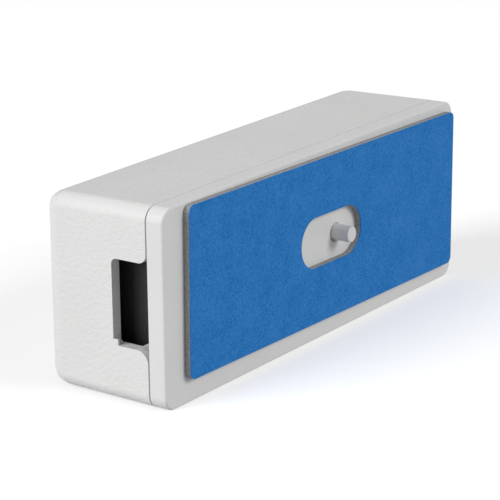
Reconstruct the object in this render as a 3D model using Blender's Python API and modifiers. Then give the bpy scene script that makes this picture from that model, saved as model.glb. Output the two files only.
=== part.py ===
"""Wireless door contact sensor: the transmitter half, stood on one long narrow side.

Frame: +X towards the end with the wire window, +Y towards the wall it is stuck to, +Z up.
Every depth below is counted from the casing's front face, towards the wall.
"""

import math

import bmesh
import bpy
from mathutils import Matrix, Vector

MM = 0.001

# Casing and base plate
LENGTH = 80.0 * MM
HEIGHT = 30.0 * MM
MIDDLE = HEIGHT / 2
CASE_DEPTH = 19.15 * MM
WALL = 1.8 * MM
DRAFT = 0.3 * MM
FRONT_RADIUS = 3.2 * MM
CORNER_RADIUS = 2.15 * MM
SEAM = 0.3 * MM
BASE_FRONT = CASE_DEPTH + SEAM
BASE_THICKNESS = 2.7 * MM
BASE_BACK = BASE_FRONT + BASE_THICKNESS
EDGE_RADIUS = 0.3 * MM
RIM_GAP = 0.3 * MM
RIM_WALL = 1.4 * MM
RIM_REACH = 2.9 * MM
RIM_OPENING = (8.55 * MM, 21.45 * MM)
GAP = 0.3 * MM

# Wire window in the +X end wall, open to the seam
WINDOW_DEPTH = 12.9 * MM
WINDOW_LOW = 8.7 * MM
WINDOW_HIGH = 21.7 * MM
WINDOW_CORNER = 0.9 * MM
WINDOW_STEP = (0.87 * MM, 0.88 * MM)
WINDOW_LIP = 0.45 * MM
WINDOW_FILLET = 0.6 * MM
WINDOW_MOUTH_LOW = 2.0 * MM
WINDOW_MOUTH_HIGH = 1.4 * MM

# Tamper plunger, its switch and its spring
PIN_X = -4.4 * MM
PIN_Z = 16.1 * MM
PIN_RADIUS = 1.25 * MM
PIN_ROOT = 1.4 * MM
PIN_HOLE = 1.6 * MM
PIN_OUT = 3.05 * MM
FLANGE_RADIUS = 2.3 * MM
FLANGE_FRONT = 18.3 * MM
FLANGE_BACK = BASE_FRONT - GAP
STEM_RADIUS = 1.05 * MM
STEM_FRONT = 13.4 * MM
SWITCH_SIDE = 6.0 * MM
SWITCH_FRONT = 10.3 * MM
SWITCH_BACK = 13.9 * MM
SWITCH_BORE = 1.45 * MM
BORE_FLOOR = 10.8 * MM
COVER_BACK = 14.4 * MM
SPRING_RADIUS = 1.75 * MM

# Adhesive pad, stuck on slightly askew
PAD_LENGTH = 73.6 * MM
PAD_HEIGHT = 25.8 * MM
PAD_X = -1.6 * MM
PAD_Z = 16.15 * MM
PAD_TURN = math.radians(0.92)
PAD_RADIUS = 1.1 * MM
SLOT_LENGTH = 16.8 * MM
SLOT_HEIGHT = 8.0 * MM
BOND = 0.05 * MM
FOAM_THICKNESS = 0.9 * MM
LINER_THICKNESS = 0.14 * MM

# Circuit board and the posts that carry it
BOARD_LEFT = -37.2 * MM
BOARD_RIGHT = 0.6 * MM
BOARD_LOW = 3.0 * MM
BOARD_HIGH = 27.0 * MM
BOARD_FRONT = 9.0 * MM
BOARD_BACK = 10.0 * MM
MOUNTED = BOARD_FRONT - GAP
POST_RADIUS = 2.5 * MM
SCREW_PLACES = ((-33.5 * MM, 6.5 * MM), (-2.2 * MM, 23.5 * MM))
PEG_PLACES = ((-33.5 * MM, 23.5 * MM), (-2.2 * MM, 6.5 * MM))
PILOT_RADIUS = 1.1 * MM
SHANK_RADIUS = 0.8 * MM
BOARD_HOLE = 1.25 * MM

# Battery and its tray
TRAY_LEFT = 3.0 * MM
TRAY_RIGHT = 35.5 * MM
TRAY_LOW = 6.0 * MM
TRAY_HIGH = 24.0 * MM
TRAY_FRONT = 5.5 * MM
TRAY_BACK = BASE_FRONT - GAP
CELL_RADIUS = 7.25 * MM
CELL_DEPTH = 10.1 * MM
CELL_LEFT = 7.9 * MM
CELL_RIGHT = 33.0 * MM
NUB_RADIUS = 2.6 * MM
NUB_LENGTH = 1.3 * MM

# Reed switch
REED_LEFT = -27.5 * MM
REED_RIGHT = -13.5 * MM
REED_DEPTH = 7.3 * MM
REED_Z = 24.6 * MM
REED_RADIUS = 1.15 * MM
REED_BORE = 0.8 * MM
LEAD_RADIUS = 0.3 * MM
BLADE_LENGTH = 6.8 * MM
BLADE_WIDTH = 0.9 * MM
BLADE_THICKNESS = 0.2 * MM

# Indicator
LAMP_X = -20.5 * MM
LAMP_Z = 19.8 * MM
PIPE_RADIUS = 1.5 * MM

# The box runs from the casing's front face to the tip of the plunger
TIP = BASE_BACK + PIN_OUT
FRONT_Y = -TIP / 2

WHITE = (0.80, 0.80, 0.79)
BLACK = (0.02, 0.02, 0.022)
STEEL = (0.62, 0.61, 0.58)
SHORT_ARC = 5
MERGE = 0.00001


def fresh_collection(name):
    made = bpy.data.collections.new(name)
    bpy.context.scene.collection.children.link(made)
    return made


for old in list(bpy.data.objects):
    bpy.data.objects.remove(old, do_unlink=True)
PARTS = fresh_collection("door_contact_sensor")
TOOLS = fresh_collection("cutters")


def finish(obj, colour, roughness=0.5, metallic=0.0):
    """Gives a finished piece its own material."""
    material = bpy.data.materials.new(obj.name)
    material.use_nodes = True
    shader = material.node_tree.nodes["Principled BSDF"]
    shader.inputs["Base Color"].default_value = (*colour, 1.0)
    shader.inputs["Roughness"].default_value = roughness
    shader.inputs["Metallic"].default_value = metallic
    obj.data.materials.clear()
    obj.data.materials.append(material)
    return obj


def link_mesh(name, mesh, collection):
    obj = bpy.data.objects.new(name, mesh)
    collection.objects.link(obj)
    if collection is TOOLS:
        obj.hide_render = True
        obj.display_type = "WIRE"
    return obj


def add_bevel(obj, width, segments=2, limit="ANGLE"):
    bevel = obj.modifiers.new("rounding", "BEVEL")
    bevel.width = width
    bevel.segments = segments
    bevel.limit_method = limit
    bevel.angle_limit = math.radians(50)
    bevel.use_clamp_overlap = False
    return obj


def block(name, x, depth, z, bevel=0.0, collection=PARTS):
    """A box between two limits on each axis, its origin at its centre."""
    low = Vector((x[0], FRONT_Y + depth[0], z[0]))
    high = Vector((x[1], FRONT_Y + depth[1], z[1]))
    shape = bmesh.new()
    bmesh.ops.create_cube(shape, size=1.0)
    bmesh.ops.scale(shape, vec=high - low, verts=shape.verts)
    mesh = bpy.data.meshes.new(name)
    shape.to_mesh(mesh)
    shape.free()
    obj = link_mesh(name, mesh, collection)
    obj.location = (low + high) / 2
    if bevel:
        add_bevel(obj, bevel)
    return obj


def arc(centre, radius, start, end, steps=SHORT_ARC):
    """Points along an arc, with its angles in degrees."""
    points = []
    for i in range(steps + 1):
        angle = math.radians(start + (end - start) * i / steps)
        points.append((centre[0] + radius * math.cos(angle), centre[1] + radius * math.sin(angle)))
    return points


def circle(centre, radius, steps=20):
    return arc(centre, radius, 0, 360, steps)[:-1]


def rounded_rectangle(centre, width, height, radius, turn=0.0, steps=SHORT_ARC):
    points = []
    for i, (side, level) in enumerate(((1, 1), (-1, 1), (-1, -1), (1, -1))):
        middle = (side * (width / 2 - radius), level * (height / 2 - radius))
        points += arc(middle, radius, 90 * i, 90 * i + 90, steps)
    return [
        (
            centre[0] + a * math.cos(turn) - b * math.sin(turn),
            centre[1] + a * math.sin(turn) + b * math.cos(turn),
        )
        for a, b in points
    ]


def prism(name, outlines, across, start, end, collection=PARTS):
    """Flat outlines pushed from start to end along an axis; inner outlines are holes.

    Across "Y" the outline is (x, z) and start and end are depths. Across "X" it is (depth, z).
    """
    data = bpy.data.curves.new(name, "CURVE")
    data.dimensions = "2D"
    data.fill_mode = "BOTH"
    data.extrude = (end - start) / 2
    for outline in outlines:
        spline = data.splines.new("POLY")
        spline.points.add(len(outline) - 1)
        for point, (a, b) in zip(spline.points, outline):
            point.co = (a, b, 0, 1)
        spline.use_cyclic_u = True
    middle = (start + end) / 2
    if across == "Y":
        place = Matrix(((1, 0, 0, 0), (0, 0, -1, FRONT_Y + middle), (0, 1, 0, 0), (0, 0, 0, 1)))
    else:
        place = Matrix(((0, 0, 1, middle), (1, 0, 0, FRONT_Y), (0, 1, 0, 0), (0, 0, 0, 1)))
    curve = bpy.data.objects.new(name + "_curve", data)
    PARTS.objects.link(curve)
    curve.matrix_world = place
    return as_mesh(name, curve, collection)


def as_mesh(name, curve, collection=PARTS):
    """Turns a curve object into a closed mesh object at the same place."""
    bpy.context.view_layer.update()
    evaluated = curve.evaluated_get(bpy.context.evaluated_depsgraph_get())
    mesh = bpy.data.meshes.new_from_object(evaluated)
    mesh.name = name
    shape = bmesh.new()
    shape.from_mesh(mesh)
    bmesh.ops.remove_doubles(shape, verts=shape.verts, dist=MERGE / 10)
    bmesh.ops.recalc_face_normals(shape, faces=shape.faces)
    shape.to_mesh(mesh)
    shape.free()
    obj = link_mesh(name, mesh, collection)
    obj.matrix_world = curve.matrix_world.copy()
    bpy.data.objects.remove(curve, do_unlink=True)
    return obj


def turned(name, profile, place, along, steps=24, closed=False, collection=PARTS):
    """Spins (radius, distance) points about an axis from place; the first point is the far end."""
    mesh = bpy.data.meshes.new(name)
    points = [(radius, 0.0, distance) for radius, distance in profile]
    edges = [(i, i + 1) for i in range(len(points) - 1)]
    if closed:
        edges.append((len(points) - 1, 0))
    mesh.from_pydata(points, edges, [])
    obj = link_mesh(name, mesh, collection)
    obj.location = (place[0], FRONT_Y + place[1], place[2])
    obj.rotation_euler = Vector((0, 0, 1)).rotation_difference(Vector(along)).to_euler()
    screw = obj.modifiers.new("turn", "SCREW")
    screw.steps = steps
    screw.render_steps = steps
    screw.use_merge_vertices = True
    screw.merge_threshold = MERGE
    screw.use_smooth_shade = True
    return obj


def wire(name, points, radius, collection=PARTS):
    """A round wire through (x, depth, z) points."""
    data = bpy.data.curves.new(name, "CURVE")
    data.dimensions = "3D"
    data.bevel_depth = radius
    data.bevel_resolution = 2
    data.use_fill_caps = True
    spline = data.splines.new("POLY")
    spline.points.add(len(points) - 1)
    for point, (x, depth, z) in zip(spline.points, points):
        point.co = (x, FRONT_Y + depth, z, 1)
    curve = bpy.data.objects.new(name + "_curve", data)
    PARTS.objects.link(curve)
    return as_mesh(name, curve, collection)


def smooth_route(knots, steps=4):
    """A smooth curve through the knots, four points to a stretch."""
    ends = [knots[0], *knots, knots[-1]]
    points = []
    for i in range(len(knots) - 1):
        a, b, c, d = (Vector(p) for p in ends[i : i + 4])
        for step in range(steps):
            t = step / steps
            points.append(
                0.5 * (2 * b + (c - a) * t + (2 * a - 5 * b + 4 * c - d) * t**2)
                + 0.5 * (3 * b - a - 3 * c + d) * t**3
            )
    points.append(Vector(knots[-1]))
    return [tuple(point) for point in points]


def combine(obj, others, operation):
    for other in others:
        boolean = obj.modifiers.new(other.name, "BOOLEAN")
        boolean.operation = operation
        boolean.object = other
    return obj


def half_size(side, depth):
    """Half of the casing's outside at a depth: its walls lean in towards the front."""
    return side / 2 - DRAFT * (1 - depth / CASE_DEPTH)


def leaning_box(name, inset, front, back, front_radius, corner_radius, collection):
    """A box that follows the casing's lean, rounded at its front and along its four long corners."""
    shape = bmesh.new()
    bmesh.ops.create_cube(shape, size=2.0)
    weight = shape.edges.layers.float.new("bevel_weight_edge")
    for edge in shape.edges:
        ends = [vert.co.y for vert in edge.verts]
        if ends[0] != ends[1]:
            edge[weight] = corner_radius / front_radius
        elif ends[0] < 0:
            edge[weight] = 1.0
    for vert in shape.verts:
        depth = front if vert.co.y < 0 else back
        vert.co.x *= half_size(LENGTH, depth) - inset
        vert.co.z = MIDDLE + vert.co.z * (half_size(HEIGHT, depth) - inset)
        vert.co.y = FRONT_Y + depth
    mesh = bpy.data.meshes.new(name)
    shape.to_mesh(mesh)
    shape.free()
    obj = link_mesh(name, mesh, collection)
    return add_bevel(obj, front_radius, segments=5, limit="WEIGHT")


def window_outline():
    """The window's outline: a square step low down, and flared where it meets the seam."""
    mouth = CASE_DEPTH
    points = arc((mouth - WINDOW_MOUTH_LOW, WINDOW_LOW - WINDOW_MOUTH_LOW), WINDOW_MOUTH_LOW, 0, 90)
    step_depth = WINDOW_DEPTH + WINDOW_STEP[0]
    step_level = WINDOW_LOW + WINDOW_STEP[1]
    points += [(step_depth, WINDOW_LOW), (step_depth, step_level), (WINDOW_DEPTH, step_level)]
    inner = (WINDOW_DEPTH + WINDOW_CORNER, WINDOW_HIGH - WINDOW_CORNER)
    points += arc(inner, WINDOW_CORNER, 180, 90, 3)
    points += arc(
        (mouth - WINDOW_MOUTH_HIGH, WINDOW_HIGH + WINDOW_MOUTH_HIGH), WINDOW_MOUTH_HIGH, 270, 360
    )
    beyond = mouth + SEAM
    return [
        *points,
        (beyond, WINDOW_HIGH + WINDOW_MOUTH_HIGH),
        (beyond, WINDOW_LOW - WINDOW_MOUTH_LOW),
    ]


def relief_outline():
    """Behind the thin lip that carries the step, the window's low corner has a fillet instead."""
    past = WINDOW_DEPTH + WINDOW_STEP[0] + GAP
    above = WINDOW_LOW + WINDOW_STEP[1] + GAP
    fillet = (WINDOW_DEPTH + WINDOW_FILLET, WINDOW_LOW + WINDOW_FILLET)
    curve = arc(fillet, WINDOW_FILLET, 180, 270, 3)
    return [(past, above), (WINDOW_DEPTH, above), *curve, (past, WINDOW_LOW)]


def snap_places():
    """Middle X and side (-1 or 1) of each of the four snap beads."""
    return [(x, side) for x in (-18 * MM, 20 * MM) for side in (-1, 1)]


def make_casing():
    casing = leaning_box("casing", 0.0, 0.0, CASE_DEPTH, FRONT_RADIUS, CORNER_RADIUS, PARTS)
    hollow = leaning_box(
        "casing_hollow",
        WALL,
        WALL,
        CASE_DEPTH + 1 * MM,
        FRONT_RADIUS - WALL,
        CORNER_RADIUS - WALL,
        TOOLS,
    )
    inside = LENGTH / 2 - 4 * MM
    window = prism("window_cut", [window_outline()], "X", inside, LENGTH / 2 + 1 * MM, TOOLS)
    lip_back = LENGTH / 2 - WINDOW_LIP
    relief = prism("window_relief", [relief_outline()], "X", inside, lip_back, TOOLS)
    lamp = prism(
        "lamp_cut", [circle((LAMP_X, LAMP_Z), PIPE_RADIUS + GAP)], "Y", -1 * MM, WALL + 1 * MM, TOOLS
    )
    cuts = [hollow, window, relief, lamp]
    for x, side in snap_places():
        inside = MIDDLE + side * (HEIGHT / 2 - WALL)
        reach = (inside - 0.4 * MM, inside + 0.4 * MM)
        length = (x - 5.5 * MM, x + 5.5 * MM)
        cuts.append(block("snap_groove", length, (16.9 * MM, 18.4 * MM), reach, collection=TOOLS))
    combine(casing, cuts, "DIFFERENCE")
    rib = block(
        "casing_rib",
        (1.4 * MM, 2.6 * MM),
        (WALL - 0.5 * MM, 4.0 * MM),
        (WALL - 0.5 * MM, HEIGHT - WALL + 0.5 * MM),
        collection=TOOLS,
    )
    combine(casing, [rib], "UNION")
    finish(casing, WHITE, 0.42)


def make_light_pipe():
    length = 7.6 * MM
    flange = (WALL + GAP, WALL + GAP + 0.8 * MM)
    profile = [
        (0, length),
        (PIPE_RADIUS, length),
        (PIPE_RADIUS, flange[1]),
        (2.4 * MM, flange[1]),
        (2.4 * MM, flange[0]),
        (PIPE_RADIUS, flange[0]),
        (PIPE_RADIUS, 0.2 * MM),
        (PIPE_RADIUS - 0.15 * MM, 0.05 * MM),
        (0, 0.05 * MM),
    ]
    pipe = turned("light_pipe", profile, (LAMP_X, 0, LAMP_Z), (0, 1, 0), 20)
    finish(pipe, (0.85, 0.88, 0.9), 0.08)


def make_base_plate():
    outline = rounded_rectangle((0, MIDDLE), LENGTH, HEIGHT, CORNER_RADIUS, steps=6)
    plate = prism("base_plate", [outline], "Y", BASE_FRONT, BASE_BACK)
    add_bevel(plate, EDGE_RADIUS)
    inset = WALL + RIM_GAP
    corner = 0.6 * MM
    outer = rounded_rectangle((0, MIDDLE), LENGTH - 2 * inset, HEIGHT - 2 * inset, corner, steps=2)
    inset += RIM_WALL
    inner = rounded_rectangle((0, MIDDLE), LENGTH - 2 * inset, HEIGHT - 2 * inset, corner, steps=2)
    rim_front = BASE_FRONT - RIM_REACH
    into = BASE_FRONT + 0.8 * MM
    additions = [prism("rim", [outer, inner], "Y", rim_front, into, TOOLS)]
    for x, side in snap_places():
        outside = MIDDLE + side * (HEIGHT / 2 - WALL - RIM_GAP)
        reach = sorted((outside - side * 0.4 * MM, outside + side * 0.2 * MM))
        length = (x - 4.5 * MM, x + 4.5 * MM)
        additions.append(
            block("snap_bead", length, (17.2 * MM, 18.0 * MM), reach, collection=TOOLS)
        )
    for x, z in SCREW_PLACES + PEG_PLACES:
        post = circle((x, z), POST_RADIUS)
        additions.append(prism("post", [post], "Y", BOARD_BACK + GAP, into, TOOLS))
    for x, z in PEG_PLACES:
        peg = circle((x, z), BOARD_HOLE - GAP, 12)
        additions.append(prism("peg", [peg], "Y", BOARD_FRONT - 0.7 * MM, BOARD_BACK + 1 * MM, TOOLS))
    combine(plate, additions, "UNION")
    cuts = [
        block(
            "rim_gap",
            (LENGTH / 2 - 5 * MM, LENGTH / 2),
            (rim_front - 1 * MM, BASE_FRONT),
            RIM_OPENING,
            collection=TOOLS,
        ),
        prism(
            "plunger_hole",
            [circle((PIN_X, PIN_Z), PIN_HOLE, 24)],
            "Y",
            BASE_FRONT - 1 * MM,
            BASE_BACK + 1 * MM,
            TOOLS,
        ),
    ]
    for x, z in SCREW_PLACES:
        pilot = circle((x, z), PILOT_RADIUS, 12)
        cuts.append(prism("pilot", [pilot], "Y", BOARD_BACK - 1 * MM, 16.5 * MM, TOOLS))
    combine(plate, cuts, "DIFFERENCE")
    finish(plate, WHITE, 0.45)


def make_pad():
    outline = rounded_rectangle((PAD_X, PAD_Z), PAD_LENGTH, PAD_HEIGHT, PAD_RADIUS, PAD_TURN, 4)
    slot = rounded_rectangle((PAD_X, PAD_Z), SLOT_LENGTH, SLOT_HEIGHT, SLOT_HEIGHT / 2, PAD_TURN, 8)
    foam_front = BASE_BACK + BOND
    foam_back = foam_front + FOAM_THICKNESS
    foam = prism("foam_pad", [outline, slot], "Y", foam_front, foam_back)
    finish(foam, (0.12, 0.12, 0.125), 0.9)
    liner = prism(
        "release_liner", [outline, slot], "Y", foam_back + BOND, foam_back + BOND + LINER_THICKNESS
    )
    finish(liner, (0.02, 0.13, 0.42), 0.6)


def make_plunger():
    reach = TIP
    dome = 0.35 * MM
    tip = arc((PIN_RADIUS - dome, reach - dome), dome, 90, 0, 2)
    profile = [
        (0, reach),
        *tip,
        (PIN_ROOT, BASE_FRONT),
        (PIN_ROOT, FLANGE_BACK),
        (FLANGE_RADIUS, FLANGE_BACK),
        (FLANGE_RADIUS, FLANGE_FRONT),
        (STEM_RADIUS, FLANGE_FRONT),
        (STEM_RADIUS, STEM_FRONT + 0.2 * MM),
        (STEM_RADIUS - 0.2 * MM, STEM_FRONT),
        (0, STEM_FRONT),
    ]
    plunger = turned("tamper_plunger", profile, (PIN_X, 0, PIN_Z), (0, 1, 0))
    finish(plunger, WHITE, 0.4)


def coil_points(centre, radius, start, end, turns, lie, per_turn=12, taper=0.0):
    """Points of a coil that lies along X, along the depth or along Z."""
    points = []
    count = int(turns * per_turn)
    for i in range(count + 1):
        share = i / count
        angle = math.tau * turns * share
        reach = radius + taper * share
        a, b = reach * math.cos(angle), reach * math.sin(angle)
        level = start + (end - start) * share
        if lie == "X":
            points.append((level, centre[1] + a, centre[2] + b))
        elif lie == "Y":
            points.append((centre[0] + a, level, centre[2] + b))
        else:
            points.append((centre[0] + a, centre[1] + b, level))
    return points


def make_plunger_spring():
    radius = 0.15 * MM
    turns = coil_points(
        (PIN_X, 0, PIN_Z),
        SPRING_RADIUS,
        COVER_BACK + 0.2 * MM + radius,
        FLANGE_FRONT - 0.2 * MM - radius,
        3.5,
        "Y",
    )
    finish(wire("plunger_spring", turns, radius), STEEL, 0.3, 1.0)


def make_tamper_switch():
    half = SWITCH_SIDE / 2
    wide = (PIN_X - half, PIN_X + half)
    tall = (PIN_Z - half, PIN_Z + half)
    body = block("switch_body", wide, (SWITCH_FRONT, SWITCH_BACK), tall, 0.2 * MM)
    cuts = [
        prism(
            "switch_bore",
            [circle((PIN_X, PIN_Z), SWITCH_BORE)],
            "Y",
            BORE_FLOOR,
            SWITCH_BACK + 1 * MM,
            TOOLS,
        )
    ]
    for name, side in (("a", -1), ("b", 1)):
        x = PIN_X + side * 2.3 * MM
        pocket = 0.4 * MM
        cuts.append(
            block(
                "terminal_pocket",
                (x - pocket, x + pocket),
                (SWITCH_FRONT - 1 * MM, 11.6 * MM),
                (PIN_Z - pocket, PIN_Z + pocket),
                collection=TOOLS,
            )
        )
        thin = 0.3 * MM
        pin = block(
            "switch_terminal_" + name,
            (x - thin, x + thin),
            (BOARD_FRONT - 0.9 * MM, 11.4 * MM),
            (PIN_Z - thin, PIN_Z + thin),
        )
        finish(pin, STEEL, 0.35, 1.0)
    combine(body, cuts, "DIFFERENCE")
    finish(body, BLACK, 0.5)
    outline = rounded_rectangle((PIN_X, PIN_Z), SWITCH_SIDE, SWITCH_SIDE, 0.4 * MM, steps=2)
    hole = circle((PIN_X, PIN_Z), SWITCH_BORE)
    cover = prism("switch_cover", [outline, hole], "Y", COVER_BACK - 0.3 * MM, COVER_BACK)
    finish(cover, STEEL, 0.35, 1.0)
    dome = [
        (0, BORE_FLOOR + 0.3 * MM),
        (0.7 * MM, BORE_FLOOR + 0.26 * MM),
        (1.3 * MM, BORE_FLOOR + 0.15 * MM),
        (1.3 * MM, BORE_FLOOR + 0.05 * MM),
        (0.7 * MM, BORE_FLOOR + 0.16 * MM),
        (0, BORE_FLOOR + 0.2 * MM),
    ]
    disc = turned("contact_dome", dome, (PIN_X, 0, PIN_Z), (0, 1, 0), 16)
    finish(disc, (0.75, 0.6, 0.3), 0.25, 1.0)


def make_board():
    outline = rounded_rectangle(
        ((BOARD_LEFT + BOARD_RIGHT) / 2, (BOARD_LOW + BOARD_HIGH) / 2),
        BOARD_RIGHT - BOARD_LEFT,
        BOARD_HIGH - BOARD_LOW,
        1.0 * MM,
        steps=3,
    )
    holes = [circle(place, BOARD_HOLE, 14) for place in SCREW_PLACES + PEG_PLACES]
    for x in (PIN_X - 2.3 * MM, PIN_X + 2.3 * MM):
        holes.append(circle((x, PIN_Z), 0.6 * MM, 8))
    for x in lead_feet():
        holes.append(circle((x, REED_Z), LEAD_RADIUS + 0.25 * MM, 8))
    board = prism("circuit_board", [outline, *holes], "Y", BOARD_FRONT, BOARD_BACK)
    finish(board, (0.02, 0.16, 0.06), 0.35)


def make_board_screws():
    for number, (x, z) in enumerate(SCREW_PLACES, 1):
        head_front = MOUNTED - 1.3 * MM
        profile = [
            (0, 15.0 * MM),
            (SHANK_RADIUS - 0.3 * MM, 15.0 * MM),
            (SHANK_RADIUS, 14.4 * MM),
            (SHANK_RADIUS, MOUNTED),
            (2.0 * MM, MOUNTED),
            (2.0 * MM, MOUNTED - 0.6 * MM),
            (1.5 * MM, head_front),
            (0, head_front),
        ]
        screw = turned(f"board_screw_{number}", profile, (x, 0, z), (0, 1, 0), 20)
        slots = []
        for wide, tall in ((1.1, 0.25), (0.25, 1.1)):
            slots.append(
                block(
                    "recess",
                    (x - wide * MM, x + wide * MM),
                    (head_front - 1 * MM, head_front + 0.7 * MM),
                    (z - tall * MM, z + tall * MM),
                    collection=TOOLS,
                )
            )
        combine(screw, slots, "DIFFERENCE")
        finish(screw, STEEL, 0.3, 1.0)


def make_battery_tray():
    wall = 1.5 * MM
    side = 1.2 * MM
    tray = block(
        "battery_tray", (TRAY_LEFT, TRAY_RIGHT), (TRAY_FRONT, TRAY_BACK), (TRAY_LOW, TRAY_HIGH)
    )
    inside = (TRAY_LEFT + wall, TRAY_RIGHT - wall)
    hollow = block(
        "tray_hollow",
        inside,
        (TRAY_FRONT - 1 * MM, TRAY_BACK - wall),
        (TRAY_LOW + side, TRAY_HIGH - side),
        collection=TOOLS,
    )
    lowered = block(
        "tray_sides",
        (inside[0] + 2.5 * MM, inside[1] - 2.5 * MM),
        (TRAY_FRONT - 1 * MM, 9.5 * MM),
        (TRAY_LOW - 1 * MM, TRAY_HIGH + 1 * MM),
        collection=TOOLS,
    )
    combine(tray, [hollow, lowered], "DIFFERENCE")
    finish(tray, BLACK, 0.55)


def make_battery():
    place = (0, CELL_DEPTH, MIDDLE)
    shoulder = CELL_RIGHT - NUB_LENGTH
    profile = [
        (0, CELL_RIGHT),
        (NUB_RADIUS - 0.3 * MM, CELL_RIGHT),
        (NUB_RADIUS, CELL_RIGHT - 0.3 * MM),
        (NUB_RADIUS, shoulder),
        (CELL_RADIUS - 0.5 * MM, shoulder),
        (CELL_RADIUS, shoulder - 0.5 * MM),
        (CELL_RADIUS, CELL_LEFT + 0.5 * MM),
        (CELL_RADIUS - 0.5 * MM, CELL_LEFT),
        (0, CELL_LEFT),
    ]
    cell = turned("battery_cell", profile, place, (1, 0, 0), 32)
    finish(cell, (0.06, 0.16, 0.30), 0.3)
    radius = 0.3 * MM
    turns = coil_points(
        place, 1.9 * MM, CELL_LEFT - 0.2 * MM - radius, 5.6 * MM + radius, 3, "X", 12, 1.6 * MM
    )
    finish(wire("battery_spring", turns, radius), STEEL, 0.25, 1.0)
    for name, x in (("positive", CELL_RIGHT + 0.3 * MM), ("negative", 4.9 * MM)):
        depth = (CELL_DEPTH - 4.6 * MM, CELL_DEPTH + 4.6 * MM)
        plate = block(
            name + "_contact",
            (x, x + 0.4 * MM),
            depth,
            (MIDDLE - 4.5 * MM, MIDDLE + 4.5 * MM),
            0.12 * MM,
        )
        finish(plate, (0.7, 0.68, 0.62), 0.25, 1.0)


def make_battery_leads():
    """Insulated leads from the two contacts, over the tray's rim, down to the board."""
    radius = 0.55 * MM
    positive = [
        (33.5, 4.7, 19.0),
        (33.3, 4.4, 21.5),
        (31.6, 4.8, 24.6),
        (28.0, 6.2, 25.3),
        (20.0, 6.8, 25.3),
        (11.0, 6.8, 25.3),
        (4.0, 6.9, 25.2),
        (1.7, 7.0, 23.6),
        (0.5, 7.2, 20.6),
        (-1.0, 7.6, 18.8),
        (-1.9, 8.1, 18.2),
    ]
    negative = [
        (5.1, 4.6, 13.5),
        (4.8, 4.4, 12.0),
        (3.6, 4.5, 10.9),
        (2.2, 5.2, 10.2),
        (0.9, 6.6, 10.2),
        (-0.6, 7.6, 11.2),
        (-1.9, 8.1, 12.4),
    ]
    colours = (("positive", positive, (0.5, 0.02, 0.02)), ("negative", negative, BLACK))
    for name, knots, colour in colours:
        route = smooth_route([tuple(value * MM for value in knot) for knot in knots], 3)
        finish(wire(name + "_lead", route, radius), colour, 0.4)


def lead_feet():
    """Where the reed switch's two leads go through the board."""
    return (REED_LEFT - 2.4 * MM, REED_RIGHT + 2.4 * MM)


def make_reed_switch():
    length = REED_RIGHT - REED_LEFT
    end = 0.6 * MM
    entry = LEAD_RADIUS + 0.12 * MM
    profile = [
        (entry, length),
        (REED_RADIUS - 0.4 * MM, length),
        (REED_RADIUS, length - end),
        (REED_RADIUS, end),
        (REED_RADIUS - 0.4 * MM, 0),
        (entry, 0),
        (entry, 0.3 * MM),
        (REED_BORE, end + 0.2 * MM),
        (REED_BORE, length - end - 0.2 * MM),
        (entry, length - 0.3 * MM),
    ]
    place = (REED_LEFT, REED_DEPTH, REED_Z)
    glass = turned("reed_glass", profile, place, (1, 0, 0), 16, closed=True)
    finish(glass, (0.72, 0.85, 0.78), 0.05)
    bend = 0.5 * MM
    for name, side, foot in zip("ab", (1, -1), lead_feet()):
        root = REED_LEFT + end if side > 0 else REED_RIGHT - end
        lead = [
            (root - side * 0.3 * MM, REED_DEPTH, REED_Z),
            (foot + side * bend, REED_DEPTH, REED_Z),
            (foot + side * bend * 0.3, REED_DEPTH + bend * 0.3, REED_Z),
            (foot, REED_DEPTH + bend, REED_Z),
            (foot, BOARD_BACK + 0.9 * MM, REED_Z),
        ]
        finish(wire("reed_lead_" + name, lead, LEAD_RADIUS), STEEL, 0.3, 1.0)
        middle = REED_DEPTH + side * BLADE_THICKNESS
        tip = root + side * BLADE_LENGTH
        blade = block(
            "reed_blade_" + name,
            (min(root, tip), max(root, tip)),
            (middle - BLADE_THICKNESS / 2, middle + BLADE_THICKNESS / 2),
            (REED_Z - BLADE_WIDTH / 2, REED_Z + BLADE_WIDTH / 2),
        )
        hinge = Vector((root, FRONT_Y + REED_DEPTH, REED_Z))
        blade.data.transform(Matrix.Translation(blade.location - hinge))
        blade.location = hinge
        finish(blade, (0.7, 0.68, 0.6), 0.25, 1.0)


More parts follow.
